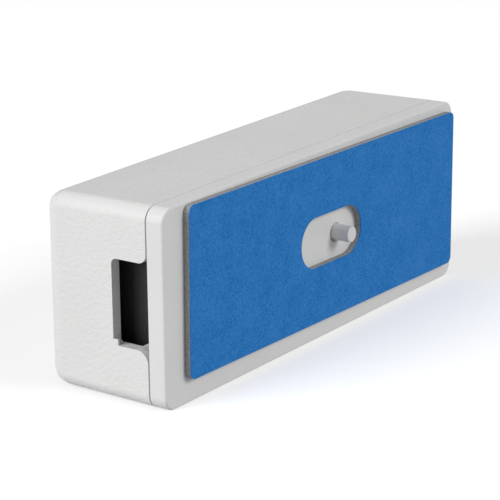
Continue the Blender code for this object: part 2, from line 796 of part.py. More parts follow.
def make_board_parts():
    module = block("radio_module", (-30.5 * MM, -16.5 * MM), (7.9 * MM, MOUNTED), (4.2 * MM, 17.0 * MM))
    finish(module, (0.02, 0.10, 0.22), 0.4)
    shield = block(
        "radio_shield", (-29.0 * MM, -19.0 * MM), (5.7 * MM, 7.6 * MM), (5.4 * MM, 15.8 * MM), 0.25 * MM
    )
    finish(shield, STEEL, 0.35, 1.0)
    chip = block(
        "microcontroller", (-13.6 * MM, -8.0 * MM), (7.6 * MM, MOUNTED), (4.6 * MM, 10.2 * MM), 0.12 * MM
    )
    finish(chip, BLACK, 0.45)
    can = rounded_rectangle((-10.8 * MM, 13.4 * MM), 5.6 * MM, 2.6 * MM, 1.3 * MM, steps=6)
    crystal = prism("crystal", [can], "Y", 6.6 * MM, MOUNTED)
    add_bevel(crystal, 0.25 * MM)
    finish(crystal, STEEL, 0.25, 1.0)
    height = MOUNTED - 3.9 * MM
    can_profile = [
        (0, height),
        (1.9 * MM, height),
        (2.0 * MM, height - 0.8 * MM),
        (2.0 * MM, 0.2 * MM),
        (1.8 * MM, 0),
        (0, 0),
    ]
    capacitor = turned("capacitor", can_profile, (-4.6 * MM, 3.9 * MM, 9.6 * MM), (0, 1, 0), 20)
    finish(capacitor, (0.55, 0.56, 0.58), 0.3, 1.0)
    lamp = block(
        "status_led",
        (LAMP_X - 0.8 * MM, LAMP_X + 0.8 * MM),
        (7.9 * MM, MOUNTED),
        (LAMP_Z - 0.6 * MM, LAMP_Z + 0.6 * MM),
        0.1 * MM,
    )
    finish(lamp, (0.85, 0.8, 0.65), 0.3)


def make_antenna():
    radius = 0.3 * MM
    turns = coil_points((-34.6 * MM, 6.1 * MM, 0), 1.9 * MM, 10.2 * MM, 19.8 * MM, 6, "Z", 10)
    finish(wire("antenna_coil", turns, radius), (0.75, 0.38, 0.18), 0.3, 1.0)


def make_pairing_button():
    middle = (-10.8 * MM, 18.9 * MM)
    half = 2.25 * MM
    body = block(
        "pairing_switch",
        (middle[0] - half, middle[0] + half),
        (7.1 * MM, MOUNTED),
        (middle[1] - half, middle[1] + half),
        0.15 * MM,
    )
    bore = prism("button_bore", [circle(middle, 1.35 * MM)], "Y", 6 * MM, 8.3 * MM, TOOLS)
    combine(body, [bore], "DIFFERENCE")
    finish(body, BLACK, 0.5)
    height = 1.9 * MM
    profile = [
        (0, height),
        (1.1 * MM, height),
        (1.1 * MM, 0.15 * MM),
        (0.95 * MM, 0),
        (0, 0),
    ]
    button = turned("pairing_button", profile, (middle[0], 6.0 * MM, middle[1]), (0, 1, 0), 16)
    finish(button, (0.6, 0.6, 0.58), 0.5)


def make_header():
    """Programming header: three square pins through one moulded strip."""
    body = block(
        "programming_header", (-31.2 * MM, -23.4 * MM), (6.4 * MM, MOUNTED), (18.6 * MM, 21.1 * MM), 0.2 * MM
    )
    pins = []
    for i in range(3):
        x = -29.84 * MM + i * 2.54 * MM
        half = 0.3 * MM
        pins.append(
            block(
                "header_pin",
                (x - half, x + half),
                (3.6 * MM, 7.5 * MM),
                (19.85 * MM - half, 19.85 * MM + half),
                collection=TOOLS,
            )
        )
    combine(body, pins, "UNION")
    finish(body, BLACK, 0.5)


make_casing()
make_light_pipe()
make_base_plate()
make_pad()
make_plunger()
make_plunger_spring()
make_tamper_switch()
make_board()
make_board_screws()
make_battery_tray()
make_battery()
make_battery_leads()
make_reed_switch()
make_board_parts()
make_antenna()
make_pairing_button()
make_header()
for part in PARTS.objects:
    part.data.shade_smooth()
    part.data.set_sharp_from_angle(angle=math.radians(35))
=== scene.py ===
import math
from contextlib import contextmanager
from types import SimpleNamespace

import bmesh
import bpy
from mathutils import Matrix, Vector, noise


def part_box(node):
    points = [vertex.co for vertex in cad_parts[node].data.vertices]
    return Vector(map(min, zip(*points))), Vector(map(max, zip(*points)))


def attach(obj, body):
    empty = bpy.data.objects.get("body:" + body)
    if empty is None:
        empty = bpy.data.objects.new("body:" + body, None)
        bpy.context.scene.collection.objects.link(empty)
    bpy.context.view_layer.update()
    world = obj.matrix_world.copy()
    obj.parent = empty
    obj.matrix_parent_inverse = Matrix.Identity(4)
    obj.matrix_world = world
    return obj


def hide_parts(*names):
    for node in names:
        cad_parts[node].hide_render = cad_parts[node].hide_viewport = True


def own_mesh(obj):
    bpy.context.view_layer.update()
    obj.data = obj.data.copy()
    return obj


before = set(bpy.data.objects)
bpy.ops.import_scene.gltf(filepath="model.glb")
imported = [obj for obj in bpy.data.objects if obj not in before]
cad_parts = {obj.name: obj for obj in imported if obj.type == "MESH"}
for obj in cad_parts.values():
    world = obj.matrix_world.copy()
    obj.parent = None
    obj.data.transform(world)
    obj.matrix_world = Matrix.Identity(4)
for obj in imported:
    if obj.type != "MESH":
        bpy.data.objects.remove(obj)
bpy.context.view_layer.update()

# The studio: a pale table under soft light, with the sensor stood on one long narrow side.
# One softbox stands past the wire window's end, and another lights the wall side.
# The table shows its shadows, but it throws no light back on to the sensor.


def add_softbox(name, azimuth, elevation, distance, size, watts):
    """A square area light that looks at the sensor from an azimuth and elevation in degrees."""
    turn, lift = math.radians(azimuth), math.radians(elevation)
    away = Vector(
        (math.sin(turn) * math.cos(lift), -math.cos(turn) * math.cos(lift), math.sin(lift))
    )
    bpy.ops.object.light_add(type="AREA", location=away * distance)
    light = bpy.context.object
    light.name = name
    light.data.shape = "SQUARE"
    light.data.size = size
    light.data.energy = watts
    light.rotation_euler = (-away).to_track_quat("-Z", "Y").to_euler()


bpy.ops.object.select_all(action="DESELECT")
add_softbox("end_softbox", azimuth=70, elevation=25, distance=2.4, size=1.3, watts=44.0)
add_softbox("wall_side_softbox", azimuth=195, elevation=30, distance=2.4, size=1.0, watts=25.5)

world = bpy.data.worlds.new("studio_air")
world.use_nodes = True
air = world.node_tree.nodes["Background"]
air.inputs["Color"].default_value = (1.0, 1.0, 1.0, 1.0)
air.inputs["Strength"].default_value = 0.30
bpy.context.scene.world = world
bpy.context.scene.view_settings.view_transform = "Standard"

bpy.ops.mesh.primitive_plane_add(size=6.0)
table_top = bpy.context.object
table_top.name = "table_top"
paper = bpy.data.materials.new("studio_paper")
paper.use_nodes = True
paper_shader = paper.node_tree.nodes["Principled BSDF"]
paper_shader.inputs["Base Color"].default_value = (0.9, 0.9, 0.9, 1.0)
paper_shader.inputs["Roughness"].default_value = 0.9
paper_shader.inputs["Emission Color"].default_value = (1.0, 1.0, 1.0, 1.0)
paper_shader.inputs["Emission Strength"].default_value = 0.34
table_top.data.materials.append(paper)
table_top.visible_diffuse = False

bpy.ops.object.camera_add(
    location=(0.28526, 0.19635, 0.11705),
    rotation=[math.radians(angle) for angle in (73.229, 0.661, 124.830)],
)
camera = bpy.context.object
camera.name = "camera"
camera.data.lens = 166.6
camera.data.sensor_width = 36.0
camera.data.clip_start = 0.01
bpy.context.scene.camera = camera

# The casing: a white ABS tub, moulded front face down, so its walls lean in by a degree.
# One end wall is notched for wires, and a spark-eroded mould leaves a fine leathery grain.
# Sizes are in millimetres, and depth is counted from the casing's front face towards the wall.
MM = 0.001
LENGTH = 80.0
HEIGHT = 30.0
CASE_DEPTH = 19.15
WALL = 1.8
LEAN = 0.3
FRONT_RADIUS = 3.2
CORNER_RADIUS = 2.15
FRONT_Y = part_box("casing")[0].y
WHITE = (0.80, 0.80, 0.795)


def at(x, depth, z):
    """A place in metres."""
    return Vector((x * MM, FRONT_Y + depth * MM, z * MM))


def make_only(piece):
    """Selects one piece and makes it the active one."""
    bpy.ops.object.select_all(action="DESELECT")
    piece.select_set(True)
    bpy.context.view_layer.objects.active = piece
    return piece


def settle(name):
    """Names the new piece and moves its place, turn and size into its mesh."""
    piece = bpy.context.object
    piece.name = name
    bpy.ops.object.transform_apply(location=True, rotation=True, scale=True)
    return piece


def add_block(name, x, depth, z):
    """A cube primitive between two limits on each axis."""
    low, high = at(x[0], depth[0], z[0]), at(x[1], depth[1], z[1])
    bpy.ops.object.select_all(action="DESELECT")
    bpy.ops.mesh.primitive_cube_add(size=1, location=(low + high) / 2)
    bpy.context.object.scale = high - low
    return settle(name)


@contextmanager
def editing():
    """Edit mode on the active piece, for as long as a with block lasts."""
    bpy.ops.object.mode_set(mode="EDIT")
    yield
    bpy.ops.object.mode_set(mode="OBJECT")


def pick(piece, kind, wanted):
    """In edit mode, leaves selected only the faces or edges that wanted() says yes to."""
    bpy.ops.mesh.select_mode(type="FACE" if kind == "faces" else "EDGE")
    bpy.ops.mesh.select_all(action="DESELECT")
    shape = bmesh.from_edit_mesh(piece.data)
    for item in getattr(shape, kind):
        if wanted(item):
            item.select_set(True)
    bmesh.update_edit_mesh(piece.data)


def faces_to(y):
    """Says whether a face looks along Y: 1 to the wall, -1 to the front."""
    return lambda face: face.normal.y * y > 0.99


def runs_deep(edge):
    """Says whether an edge runs along the depth."""
    a, b = (vert.co for vert in edge.verts)
    return abs(a.y - b.y) > 5 * max(abs(a.x - b.x), abs(a.z - b.z))


def lies_at(depth):
    """Says whether an edge lies in the plane at that depth."""
    level = FRONT_Y + depth * MM
    return lambda edge: all(abs(vert.co.y - level) < 0.01 * MM for vert in edge.verts)


def round_edges(piece, wanted, radius, segments=3):
    """Rounds the chosen edges in edit mode."""
    make_only(piece)
    with editing():
        pick(piece, "edges", wanted)
        bpy.ops.mesh.bevel(offset=radius * MM, segments=segments, affect="EDGES")
    return piece


def finish_with(piece, kind, **settings):
    """Adds one modifier, sets it and applies it."""
    modifier = piece.modifiers.new(kind.lower(), kind)
    for setting, value in settings.items():
        setattr(modifier, setting, value)
    make_only(piece)
    bpy.ops.object.modifier_apply(modifier=modifier.name)
    return piece


def boolean(piece, tool, operation="DIFFERENCE"):
    """Cuts the tool from the piece, or joins it on, and throws the tool away."""
    finish_with(piece, "BOOLEAN", object=tool, operation=operation, solver="EXACT")
    bpy.data.objects.remove(tool, do_unlink=True)
    return piece


def soften(piece, radius, segments=2, angle=50):
    """Rounds every edge sharper than the angle."""
    return finish_with(
        piece,
        "BEVEL",
        width=radius * MM,
        segments=segments,
        limit_method="ANGLE",
        angle_limit=math.radians(angle),
        miter_outer="MITER_ARC",
    )


def shade(piece, angle=35):
    """Smooth shading that keeps flat faces flat."""
    make_only(piece)
    bpy.ops.object.shade_smooth_by_angle(angle=math.radians(angle))
    return finish_with(piece, "WEIGHTED_NORMAL", keep_sharp=True, weight=60)


def arc(centre, radius, start, end, steps=8):
    """Points along an arc, with its angles in degrees."""
    points = []
    for i in range(steps + 1):
        angle = math.radians(start + (end - start) * i / steps)
        points.append((centre[0] + radius * math.cos(angle), centre[1] + radius * math.sin(angle)))
    return points


def close_up(piece):
    """Merges a new mesh's doubles and turns its faces out."""
    with editing():
        bpy.ops.mesh.select_all(action="SELECT")
        bpy.ops.mesh.remove_doubles(threshold=0.002 * MM)
        bpy.ops.mesh.normals_make_consistent(inside=False)
    return piece


def add_flat(name, outlines, reach, across="Y"):
    """Flat outlines, the inner ones holes, given a thickness and made a mesh.

    Across Y an outline is (x, z) and its reach is in depth. Across X it is (depth, z).
    """
    data = bpy.data.curves.new(name, "CURVE")
    data.dimensions = "2D"
    data.fill_mode = "BOTH"
    data.extrude = (reach[1] - reach[0]) / 2
    for outline in outlines:
        spline = data.splines.new("POLY")
        spline.points.add(len(outline) - 1)
        for point, (a, b) in zip(spline.points, outline):
            point.co = (a, b, 0, 1)
        spline.use_cyclic_u = True
    flat = bpy.data.objects.new(name, data)
    bpy.context.scene.collection.objects.link(flat)
    middle = (reach[0] + reach[1]) / 2
    if across == "Y":
        flat.location = at(0, middle, 0)
        flat.rotation_euler = (math.radians(90), 0, 0)
    else:
        flat.location = at(middle, 0, 0)
        flat.rotation_euler = (math.radians(90), 0, math.radians(90))
    flat.scale = (MM, MM, MM)
    make_only(flat)
    bpy.ops.object.convert(target="MESH")
    return close_up(settle(name))


def new_finish(name, colour, roughness, metallic=0.0):
    """A new material, with its nodes, links and shader and the piece's own coordinates."""
    material = bpy.data.materials.new(name)
    material.use_nodes = True
    nodes = material.node_tree.nodes
    shader = nodes["Principled BSDF"]
    shader.inputs["Base Color"].default_value = (*colour, 1.0)
    shader.inputs["Roughness"].default_value = roughness
    shader.inputs["Metallic"].default_value = metallic
    place = nodes.new("ShaderNodeTexCoord").outputs["Object"]
    links = material.node_tree.links
    return SimpleNamespace(
        material=material, nodes=nodes, links=links, shader=shader, place=place
    )


def grain(finish, scale, detail=3.0, stretch=(1, 1, 1), distortion=0.0):
    """A noise pattern's value; the scale is in grains a metre."""
    mapping = finish.nodes.new("ShaderNodeMapping")
    mapping.inputs["Scale"].default_value = stretch
    finish.links.new(finish.place, mapping.inputs["Vector"])
    pattern = finish.nodes.new("ShaderNodeTexNoise")
    pattern.inputs["Scale"].default_value = scale
    pattern.inputs["Detail"].default_value = detail
    pattern.inputs["Distortion"].default_value = distortion
    finish.links.new(mapping.outputs["Vector"], pattern.inputs["Vector"])
    return pattern.outputs["Fac"]


def tint_by(finish, value, dark, light, low=0.35, high=0.65):
    """Colours the surface from dark to light by a pattern."""
    ramp = finish.nodes.new("ShaderNodeValToRGB")
    for stop, position, colour in zip(ramp.color_ramp.elements, (low, high), (dark, light)):
        stop.position = position
        stop.color = (*colour, 1.0)
    finish.links.new(value, ramp.inputs["Fac"])
    finish.links.new(ramp.outputs["Color"], finish.shader.inputs["Base Color"])


def polish_by(finish, value, low, high):
    """Varies the roughness between two values by a pattern."""
    spread = finish.nodes.new("ShaderNodeMapRange")
    spread.inputs["To Min"].default_value = low
    spread.inputs["To Max"].default_value = high
    finish.links.new(value, spread.inputs["Value"])
    finish.links.new(spread.outputs["Result"], finish.shader.inputs["Roughness"])


def raise_by(finish, value, height, under=None):
    """Raises the surface by a pattern, on top of another relief if there is one."""
    bump = finish.nodes.new("ShaderNodeBump")
    bump.inputs["Distance"].default_value = height * MM
    finish.links.new(value, bump.inputs["Height"])
    if under is not None:
        finish.links.new(under, bump.inputs["Normal"])
    finish.links.new(bump.outputs["Normal"], finish.shader.inputs["Normal"])
    return bump.outputs["Normal"]


def patterned(name, colour, roughness, pattern, tints, polish, relief, metallic=0.0):
    """A finish whose colour, roughness and relief all follow one grain."""
    finish = new_finish(name, colour, roughness, metallic)
    value = grain(finish, *pattern)
    tint_by(finish, value, *tints)
    polish_by(finish, value, *polish)
    raise_by(finish, value, relief)
    return finish


def grained_white(name, colour, leather, fine):
    """Textured white ABS: an orange-peel skin under fine spark-eroded grain."""
    finish = new_finish(name, colour, 0.5)
    cloud = grain(finish, 90, 2.0)
    tint_by(finish, cloud, [c * 0.975 for c in colour], colour)
    peel = grain(finish, 1400, 3.0, (1, 1, 1.2), 0.4)
    skin = raise_by(finish, peel, leather)
    spark = grain(finish, 5200, 2.0)
    raise_by(finish, spark, fine, skin)
    polish_by(finish, spark, 0.42, 0.56)
    return finish


def dress(piece, finish, body, slot, *replaced):
    """Gives a new piece its finish, the body it moves with, and the CAD nodes it stands for."""
    piece.data.materials.clear()
    piece.data.materials.append(finish.material)
    if replaced:
        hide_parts(*replaced)
    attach(piece, body)
    return piece


half_long, half_tall = LENGTH / 2, HEIGHT / 2
casing = add_block("casing_shell", (-half_long, half_long), (0, CASE_DEPTH), (0, HEIGHT))
with editing():
    pick(casing, "faces", faces_to(-1))
    bpy.ops.transform.resize(
        value=(1 - LEAN / half_long, 1, 1 - LEAN / half_tall), center_override=at(0, 0, half_tall)
    )
    pick(casing, "faces", faces_to(1))
    bpy.ops.mesh.delete(type="ONLY_FACE")
    shape = bmesh.from_edit_mesh(casing.data)
    rounding = shape.edges.layers.float.new("bevel_weight_edge")
    on_front = lies_at(0)
    for edge in shape.edges:
        if runs_deep(edge):
            edge[rounding] = CORNER_RADIUS / FRONT_RADIUS
        elif on_front(edge):
            edge[rounding] = 1.0
    bmesh.update_edit_mesh(casing.data)
finish_with(
    casing,
    "BEVEL",
    width=FRONT_RADIUS * MM,
    segments=10,
    limit_method="WEIGHT",
    use_clamp_overlap=False,
)
finish_with(casing, "SOLIDIFY", thickness=WALL * MM, offset=-1.0, use_even_offset=True)

# the wire window, flared where it meets the base plate, with a thin stepped lip low down
WINDOW_DEPTH = 12.9
WINDOW_LOW = 8.7
WINDOW_HIGH = 21.7
WINDOW_CORNER = 0.9
WINDOW_STEP = (0.87, 0.88)
WINDOW_LIP = 0.45
WINDOW_FILLET = 0.6
low_mouth, high_mouth = 2.0, 1.4
window_middle = (WINDOW_DEPTH + WINDOW_CORNER, WINDOW_HIGH - WINDOW_CORNER)
window_outline = [
    *arc((CASE_DEPTH - low_mouth, WINDOW_LOW - low_mouth), low_mouth, 0, 90, 12),
    (WINDOW_DEPTH + WINDOW_STEP[0], WINDOW_LOW),
    (WINDOW_DEPTH + WINDOW_STEP[0], WINDOW_LOW + WINDOW_STEP[1]),
    (WINDOW_DEPTH, WINDOW_LOW + WINDOW_STEP[1]),
    *arc(window_middle, WINDOW_CORNER, 180, 90, 6),
    *arc((CASE_DEPTH - high_mouth, WINDOW_HIGH + high_mouth), high_mouth, 270, 360),
    (CASE_DEPTH + 1, WINDOW_HIGH + high_mouth),
    (CASE_DEPTH + 1, WINDOW_LOW - low_mouth),
]
boolean(casing, add_flat("window_cut", [window_outline], (half_long - 4, half_long + 1), "X"))
CLEAR = 0.3
past, above = WINDOW_DEPTH + WINDOW_STEP[0] + CLEAR, WINDOW_LOW + WINDOW_STEP[1] + CLEAR
fillet_middle = (WINDOW_DEPTH + WINDOW_FILLET, WINDOW_LOW + WINDOW_FILLET)
relief_outline = [
    (past, above),
    (WINDOW_DEPTH, above),
    *arc(fillet_middle, WINDOW_FILLET, 180, 270, 6),
    (past, WINDOW_LOW),
]
relief_reach = (half_long - 4, half_long - WINDOW_LIP)
boolean(casing, add_flat("window_relief", [relief_outline], relief_reach, "X"))

# the hole for the light pipe, the grooves that snap over the base's beads, and the cross rib
LAMP = (-20.5, 19.8)
boolean(casing, add_flat("lamp_hole", [arc(LAMP, 1.8, 0, 360, 48)[:-1]], (-1, WALL + 1)))
SNAP_XS = (-18, 20)
for x in SNAP_XS:
    for side in (-1, 1):
        inside = half_tall + side * (half_tall - WALL)
        groove = ((x - 5.5, x + 5.5), (16.9, 18.4), (inside - 0.4, inside + 0.4))
        boolean(casing, add_block("groove", *groove))
rib = add_block("rib", (1.4, 2.6), (WALL - 0.4, 4.0), (WALL - 0.4, HEIGHT - WALL + 0.4))
boolean(casing, rib, "UNION")
shade(soften(casing, 0.14, 3, 55))
dress(casing, grained_white("casing_abs", WHITE, 0.12, 0.03), "cover", "casing_white", "casing")

# The light pipe: a clear acrylic plug that carries the lamp's light to the front.
# Its flange rests inside the casing, and its front end is polished almost flush.


def turn_up(name, place, rings, sides=64, along="Y"):
    """A turned piece: a disc is extruded and scaled ring by ring, each (distance, radius)."""
    axis = Vector((along == "X", along == "Y", along == "Z"))
    middle = at(*place)
    start, radius = rings[0]
    bpy.ops.object.select_all(action="DESELECT")
    bpy.ops.mesh.primitive_circle_add(
        vertices=sides,
        radius=radius * MM,
        fill_type="NGON",
        location=middle + axis * start * MM,
        rotation=Vector((0, 0, 1)).rotation_difference(axis).to_euler(),
    )
    piece = settle(name)
    with editing():
        bpy.ops.mesh.select_all(action="SELECT")
        for distance, wider in rings[1:]:
            share = wider / radius
            step = axis * (distance - start) * MM
            bpy.ops.mesh.extrude_region_move(TRANSFORM_OT_translate={"value": step})
            bpy.ops.transform.resize(
                value=[1 if component else share for component in axis],
                center_override=middle + axis * distance * MM,
            )
            start, radius = distance, wider
        bpy.ops.mesh.select_all(action="SELECT")
        bpy.ops.mesh.normals_make_consistent(inside=False)
    return piece


def round_over(distance, radius, size, way, steps=4):
    """Rings that round an edge over; way is 1 at a far end and -1 at a near one."""
    rings = []
    for i in range(steps + 1):
        angle = math.radians(90 * i / steps)
        inward, outward = size * (1 - math.cos(angle)), size * (1 - math.sin(angle))
        if way > 0:
            rings.append((distance - outward, radius - inward))
        else:
            rings.append((distance + inward, radius - outward))
    return rings


PIPE_RINGS = [
    *round_over(0.05, 1.5, 0.25, -1), (2.1, 1.5), *round_over(2.1, 2.4, 0.1, -1, 2),
    *round_over(2.9, 2.4, 0.1, 1, 2), (2.9, 1.5), *round_over(7.6, 1.5, 0.1, 1, 2),
]
light_pipe = turn_up("light_guide", (LAMP[0], 0, LAMP[1]), PIPE_RINGS)
shade(light_pipe, 30)
acrylic = new_finish("clear_acrylic", (0.93, 0.96, 0.97), 0.08)
acrylic.shader.inputs["Transmission Weight"].default_value = 0.85
acrylic.shader.inputs["IOR"].default_value = 1.49
ripple = grain(acrylic, 900, 2.0)
polish_by(acrylic, ripple, 0.05, 0.16)
raise_by(acrylic, ripple, 0.006)
dress(light_pipe, acrylic, "cover", "clear_pipe", "light_pipe")

# The base plate: a flat white moulding with a rim that plugs into the casing.
# Four posts hold the board up off it, and the plunger comes out through its round hole.
BASE_FRONT = 19.45
BASE_BACK = 22.15
PIN = (-4.4, 16.1)
RIM_INSET = WALL + 0.3
RIM_WALL = 1.4
RIM_FRONT = BASE_FRONT - 2.9
RIM_OPENING = (8.55, 21.45)
BOARD_FRONT = 9.0
BOARD_BACK = 10.0
SCREW_PLACES = ((-33.5, 6.5), (-2.2, 23.5))
PEG_PLACES = ((-33.5, 23.5), (-2.2, 6.5))


def add_rod(name, place, radius, reach, sides=48):
    """A cylinder primitive along the depth, at (x, z)."""
    bpy.ops.object.select_all(action="DESELECT")
    bpy.ops.mesh.primitive_cylinder_add(
        vertices=sides,
        radius=radius * MM,
        depth=(reach[1] - reach[0]) * MM,
        location=at(place[0], (reach[0] + reach[1]) / 2, place[1]),
        rotation=(math.radians(90), 0, 0),
    )
    return settle(name)


PLATE_FRONT = BASE_FRONT - 0.12
base = add_block("base_moulding", (-half_long, half_long), (PLATE_FRONT, BASE_BACK), (0, HEIGHT))
round_edges(base, runs_deep, CORNER_RADIUS, 12)
round_edges(base, lies_at(BASE_BACK), 0.35, 5)
round_edges(base, lies_at(PLATE_FRONT), 0.1, 3)

rim_long, rim_tall = half_long - RIM_INSET, half_tall - RIM_INSET
rim = add_block(
    "rim",
    (-rim_long, rim_long),
    (RIM_FRONT, BASE_FRONT + 0.6),
    (half_tall - rim_tall, half_tall + rim_tall),
)
with editing():
    pick(rim, "faces", lambda face: abs(face.normal.y) > 0.99)
    bpy.ops.mesh.inset(thickness=RIM_WALL * MM, use_individual=True)
    bpy.ops.mesh.bridge_edge_loops()
    bpy.ops.mesh.select_all(action="SELECT")
    bpy.ops.mesh.normals_make_consistent(inside=False)
round_edges(rim, runs_deep, 0.6, 5)
boolean(base, rim, "UNION")
opening = ((half_long - 5, half_long - RIM_INSET + 0.1), (RIM_FRONT - 1, PLATE_FRONT), RIM_OPENING)
boolean(base, add_block("rim_opening", *opening))

for place in SCREW_PLACES + PEG_PLACES:
    post = add_rod("post", place, 2.5, (BOARD_BACK + 0.3, BASE_FRONT + 0.6))
    with editing():
        pick(post, "faces", faces_to(-1))
        narrow = {"value": (0.93, 1, 0.93), "center_override": at(place[0], BOARD_BACK, place[1])}
        bpy.ops.transform.resize(**narrow)
    boolean(base, post, "UNION")
for place in PEG_PLACES:
    peg = add_rod("peg", place, 0.95, (BOARD_FRONT - 0.7, BOARD_BACK + 1), 32)
    boolean(base, round_edges(peg, lies_at(BOARD_FRONT - 0.7), 0.3), "UNION")
for place in SCREW_PLACES:
    boolean(base, add_rod("pilot", place, 1.1, (BOARD_BACK - 1, 16.5), 32))
plunger_hole = (PIN[0] + 0.04, PIN[1] - 0.1)
boolean(base, add_rod("plunger_hole", plunger_hole, 1.55, (BASE_FRONT - 1, BASE_BACK + 1), 64))
for x in SNAP_XS:
    for side in (-1, 1):
        outside = half_tall + side * rim_tall
        reach = sorted((outside - side * 0.4, outside + side * 0.2))
        boolean(base, add_block("bead", (x - 4.5, x + 4.5), (17.2, 18.0), reach), "UNION")
shade(soften(base, 0.08, 2, 60))
base_abs = grained_white("base_abs", (0.79, 0.79, 0.785), 0.05, 0.02)
dress(base, base_abs, "base", "base_white", "base_plate")

# The foam pad: die-cut closed-cell tape, stuck on a little askew, with a slot for the plunger.
# Its cut sides bulge slightly and show the foam's cells.
PAD = (-1.6, 16.15)
PAD_TURN = math.radians(0.92)
PAD_SIZE = (73.6, 25.8)
SLOT_SIZE = (16.8, 8.0)
FOAM_BACK = BASE_BACK + 1.0
LINER_BACK = BASE_BACK + 1.14


def pad_outline(size, radius, steps, step):
    """A rounded rectangle turned with the pad, its points at most a step apart."""
    corners = []
    for quarter, (side, level) in enumerate(((1, 1), (-1, 1), (-1, -1), (1, -1))):
        middle = (side * (size[0] / 2 - radius), level * (size[1] / 2 - radius))
        corners += arc(middle, radius, 90 * quarter, 90 * quarter + 90, steps)
    points = []
    for i, (ax, az) in enumerate(corners):
        bx, bz = corners[(i + 1) % len(corners)]
        count = max(1, round(math.hypot(bx - ax, bz - az) / step))
        points += [(ax + (bx - ax) * j / count, az + (bz - az) * j / count) for j in range(count)]
    across, up = math.cos(PAD_TURN), math.sin(PAD_TURN)
    return [(PAD[0] + a * across - b * up, PAD[1] + a * up + b * across) for a, b in points]


foam_outlines = [pad_outline(PAD_SIZE, 1.1, 8, 0.5), pad_outline(SLOT_SIZE, 3.99, 20, 0.5)]
foam = add_flat("foam_tape", foam_outlines, (BASE_BACK, FOAM_BACK))
with editing():
    pick(foam, "edges", runs_deep)
    bpy.ops.mesh.subdivide(number_cuts=5)
for vert in foam.data.vertices:
    share = (vert.co.y - FRONT_Y - BASE_BACK * MM) / ((FOAM_BACK - BASE_BACK) * MM)
    if 0.01 < share < 0.99:
        swell = 0.05 * math.sin(math.pi * share) + 0.04 * noise.noise(vert.co * 2600)
        vert.co += Vector((vert.normal.x, 0, vert.normal.z)).normalized() * swell * MM
shade(foam, 50)
foam_grey = new_finish("closed_cell_foam", (0.30, 0.302, 0.306), 0.92)
cells = foam_grey.nodes.new("ShaderNodeTexVoronoi")
cells.inputs["Scale"].default_value = 5200
foam_grey.links.new(foam_grey.place, cells.inputs["Vector"])
pores = cells.outputs["Distance"]
tint_by(foam_grey, pores, (0.19, 0.192, 0.196), (0.37, 0.372, 0.376), 0.1, 0.7)
raise_by(foam_grey, pores, 0.04)
dress(foam, foam_grey, "base", "foam", "foam_pad")

# The release liner: blue siliconised paper on the foam, cut with it, so their edges are flush.
# Short felted fibres mottle its colour.
liner_outlines = [pad_outline(PAD_SIZE, 1.1, 10, 1.2), pad_outline(SLOT_SIZE, 3.99, 24, 1.2)]
liner = add_flat("blue_liner", liner_outlines, (FOAM_BACK, LINER_BACK))
soften(liner, 0.03, 2, 60)
shade(liner, 40)
liner_blue = new_finish("blue_liner_paper", (0.03, 0.22, 0.60), 0.62)
liner_blue.shader.inputs["Specular IOR Level"].default_value = 0.08
fibres_along = grain(liner_blue, 1900, 4.0, (1.0, 1.0, 3.0), 1.2)
fibres_up = grain(liner_blue, 1900, 4.0, (3.0, 1.0, 1.0), 1.2)
felt = liner_blue.nodes.new("ShaderNodeMath")
felt.operation = "MAXIMUM"
liner_blue.links.new(fibres_along, felt.inputs[0])
liner_blue.links.new(fibres_up, felt.inputs[1])
clouds = grain(liner_blue, 260, 3.0)
mottle = liner_blue.nodes.new("ShaderNodeMix")
mottle.inputs["Factor"].default_value = 0.15
liner_blue.links.new(felt.outputs["Value"], mottle.inputs["A"])
liner_blue.links.new(clouds, mottle.inputs["B"])
LINER_DARK, LINER_LIGHT = (0.006, 0.165, 0.53), (0.050, 0.265, 0.68)
tint_by(liner_blue, mottle.outputs["Result"], LINER_DARK, LINER_LIGHT, 0.44, 0.62)
polish_by(liner_blue, felt.outputs["Value"], 0.5, 0.72)
raise_by(liner_blue, felt.outputs["Value"], 0.025)
dress(liner, liner_blue, "base", "liner", "release_liner")

# The tamper plunger: a white acetal pin, sprung outwards through the base plate.
# Its flange stops it inside, and its stem reaches into the switch.
PLUNGER_RINGS = [
    *round_over(13.4, 1.05, 0.2, -1), (18.3, 1.05), *round_over(18.3, 2.3, 0.12, -1, 3),
    *round_over(19.15, 2.3, 0.12, 1, 3), (19.15, 1.4), (19.6, 1.4),
    *round_over(25.2, 1.25, 0.14, 1, 4),
]
plunger = turn_up("plunger_pin", (PIN[0], 0, PIN[1]), PLUNGER_RINGS)
shade(plunger, 30)
acetal = patterned(
    "white_acetal", (0.76, 0.765, 0.775), 0.38, (2600, 3.0, (1, 6, 1)),
    ((0.70, 0.705, 0.72), (0.78, 0.785, 0.795), 0.3, 0.7), (0.32, 0.46), 0.012,
)
dress(plunger, acetal, "plunger", "plunger_white", "tamper_plunger")

# The plunger's return spring: three and a half turns of thin music wire round the stem.
# It stands on the tamper switch's cover and is squeezed by the plunger's flange.


def worked_metal(name, colour, roughness, stretch=(1, 1, 1), scale=2500):
    """Bare or plated metal with fine drawing marks."""
    return patterned(
        name, colour, roughness, (scale, 4.0, stretch),
        ([c * 0.84 for c in colour], colour), (roughness - 0.08, roughness + 0.12),
        0.005, 1.0,
    )


def thread_wire(name, points, radius, roundness=3):
    """A round wire with closed ends through (x, depth, z) points."""
    data = bpy.data.curves.new(name, "CURVE")
    data.dimensions = "3D"
    data.bevel_depth = radius * MM
    data.bevel_resolution = roundness
    data.use_fill_caps = True
    spline = data.splines.new("POLY")
    spline.points.add(len(points) - 1)
    for point, place in zip(spline.points, points):
        point.co = (*at(*place), 1)
    threaded = bpy.data.objects.new(name, data)
    bpy.context.scene.collection.objects.link(threaded)
    make_only(threaded)
    bpy.ops.object.convert(target="MESH")
    return shade(close_up(settle(name)), 50)


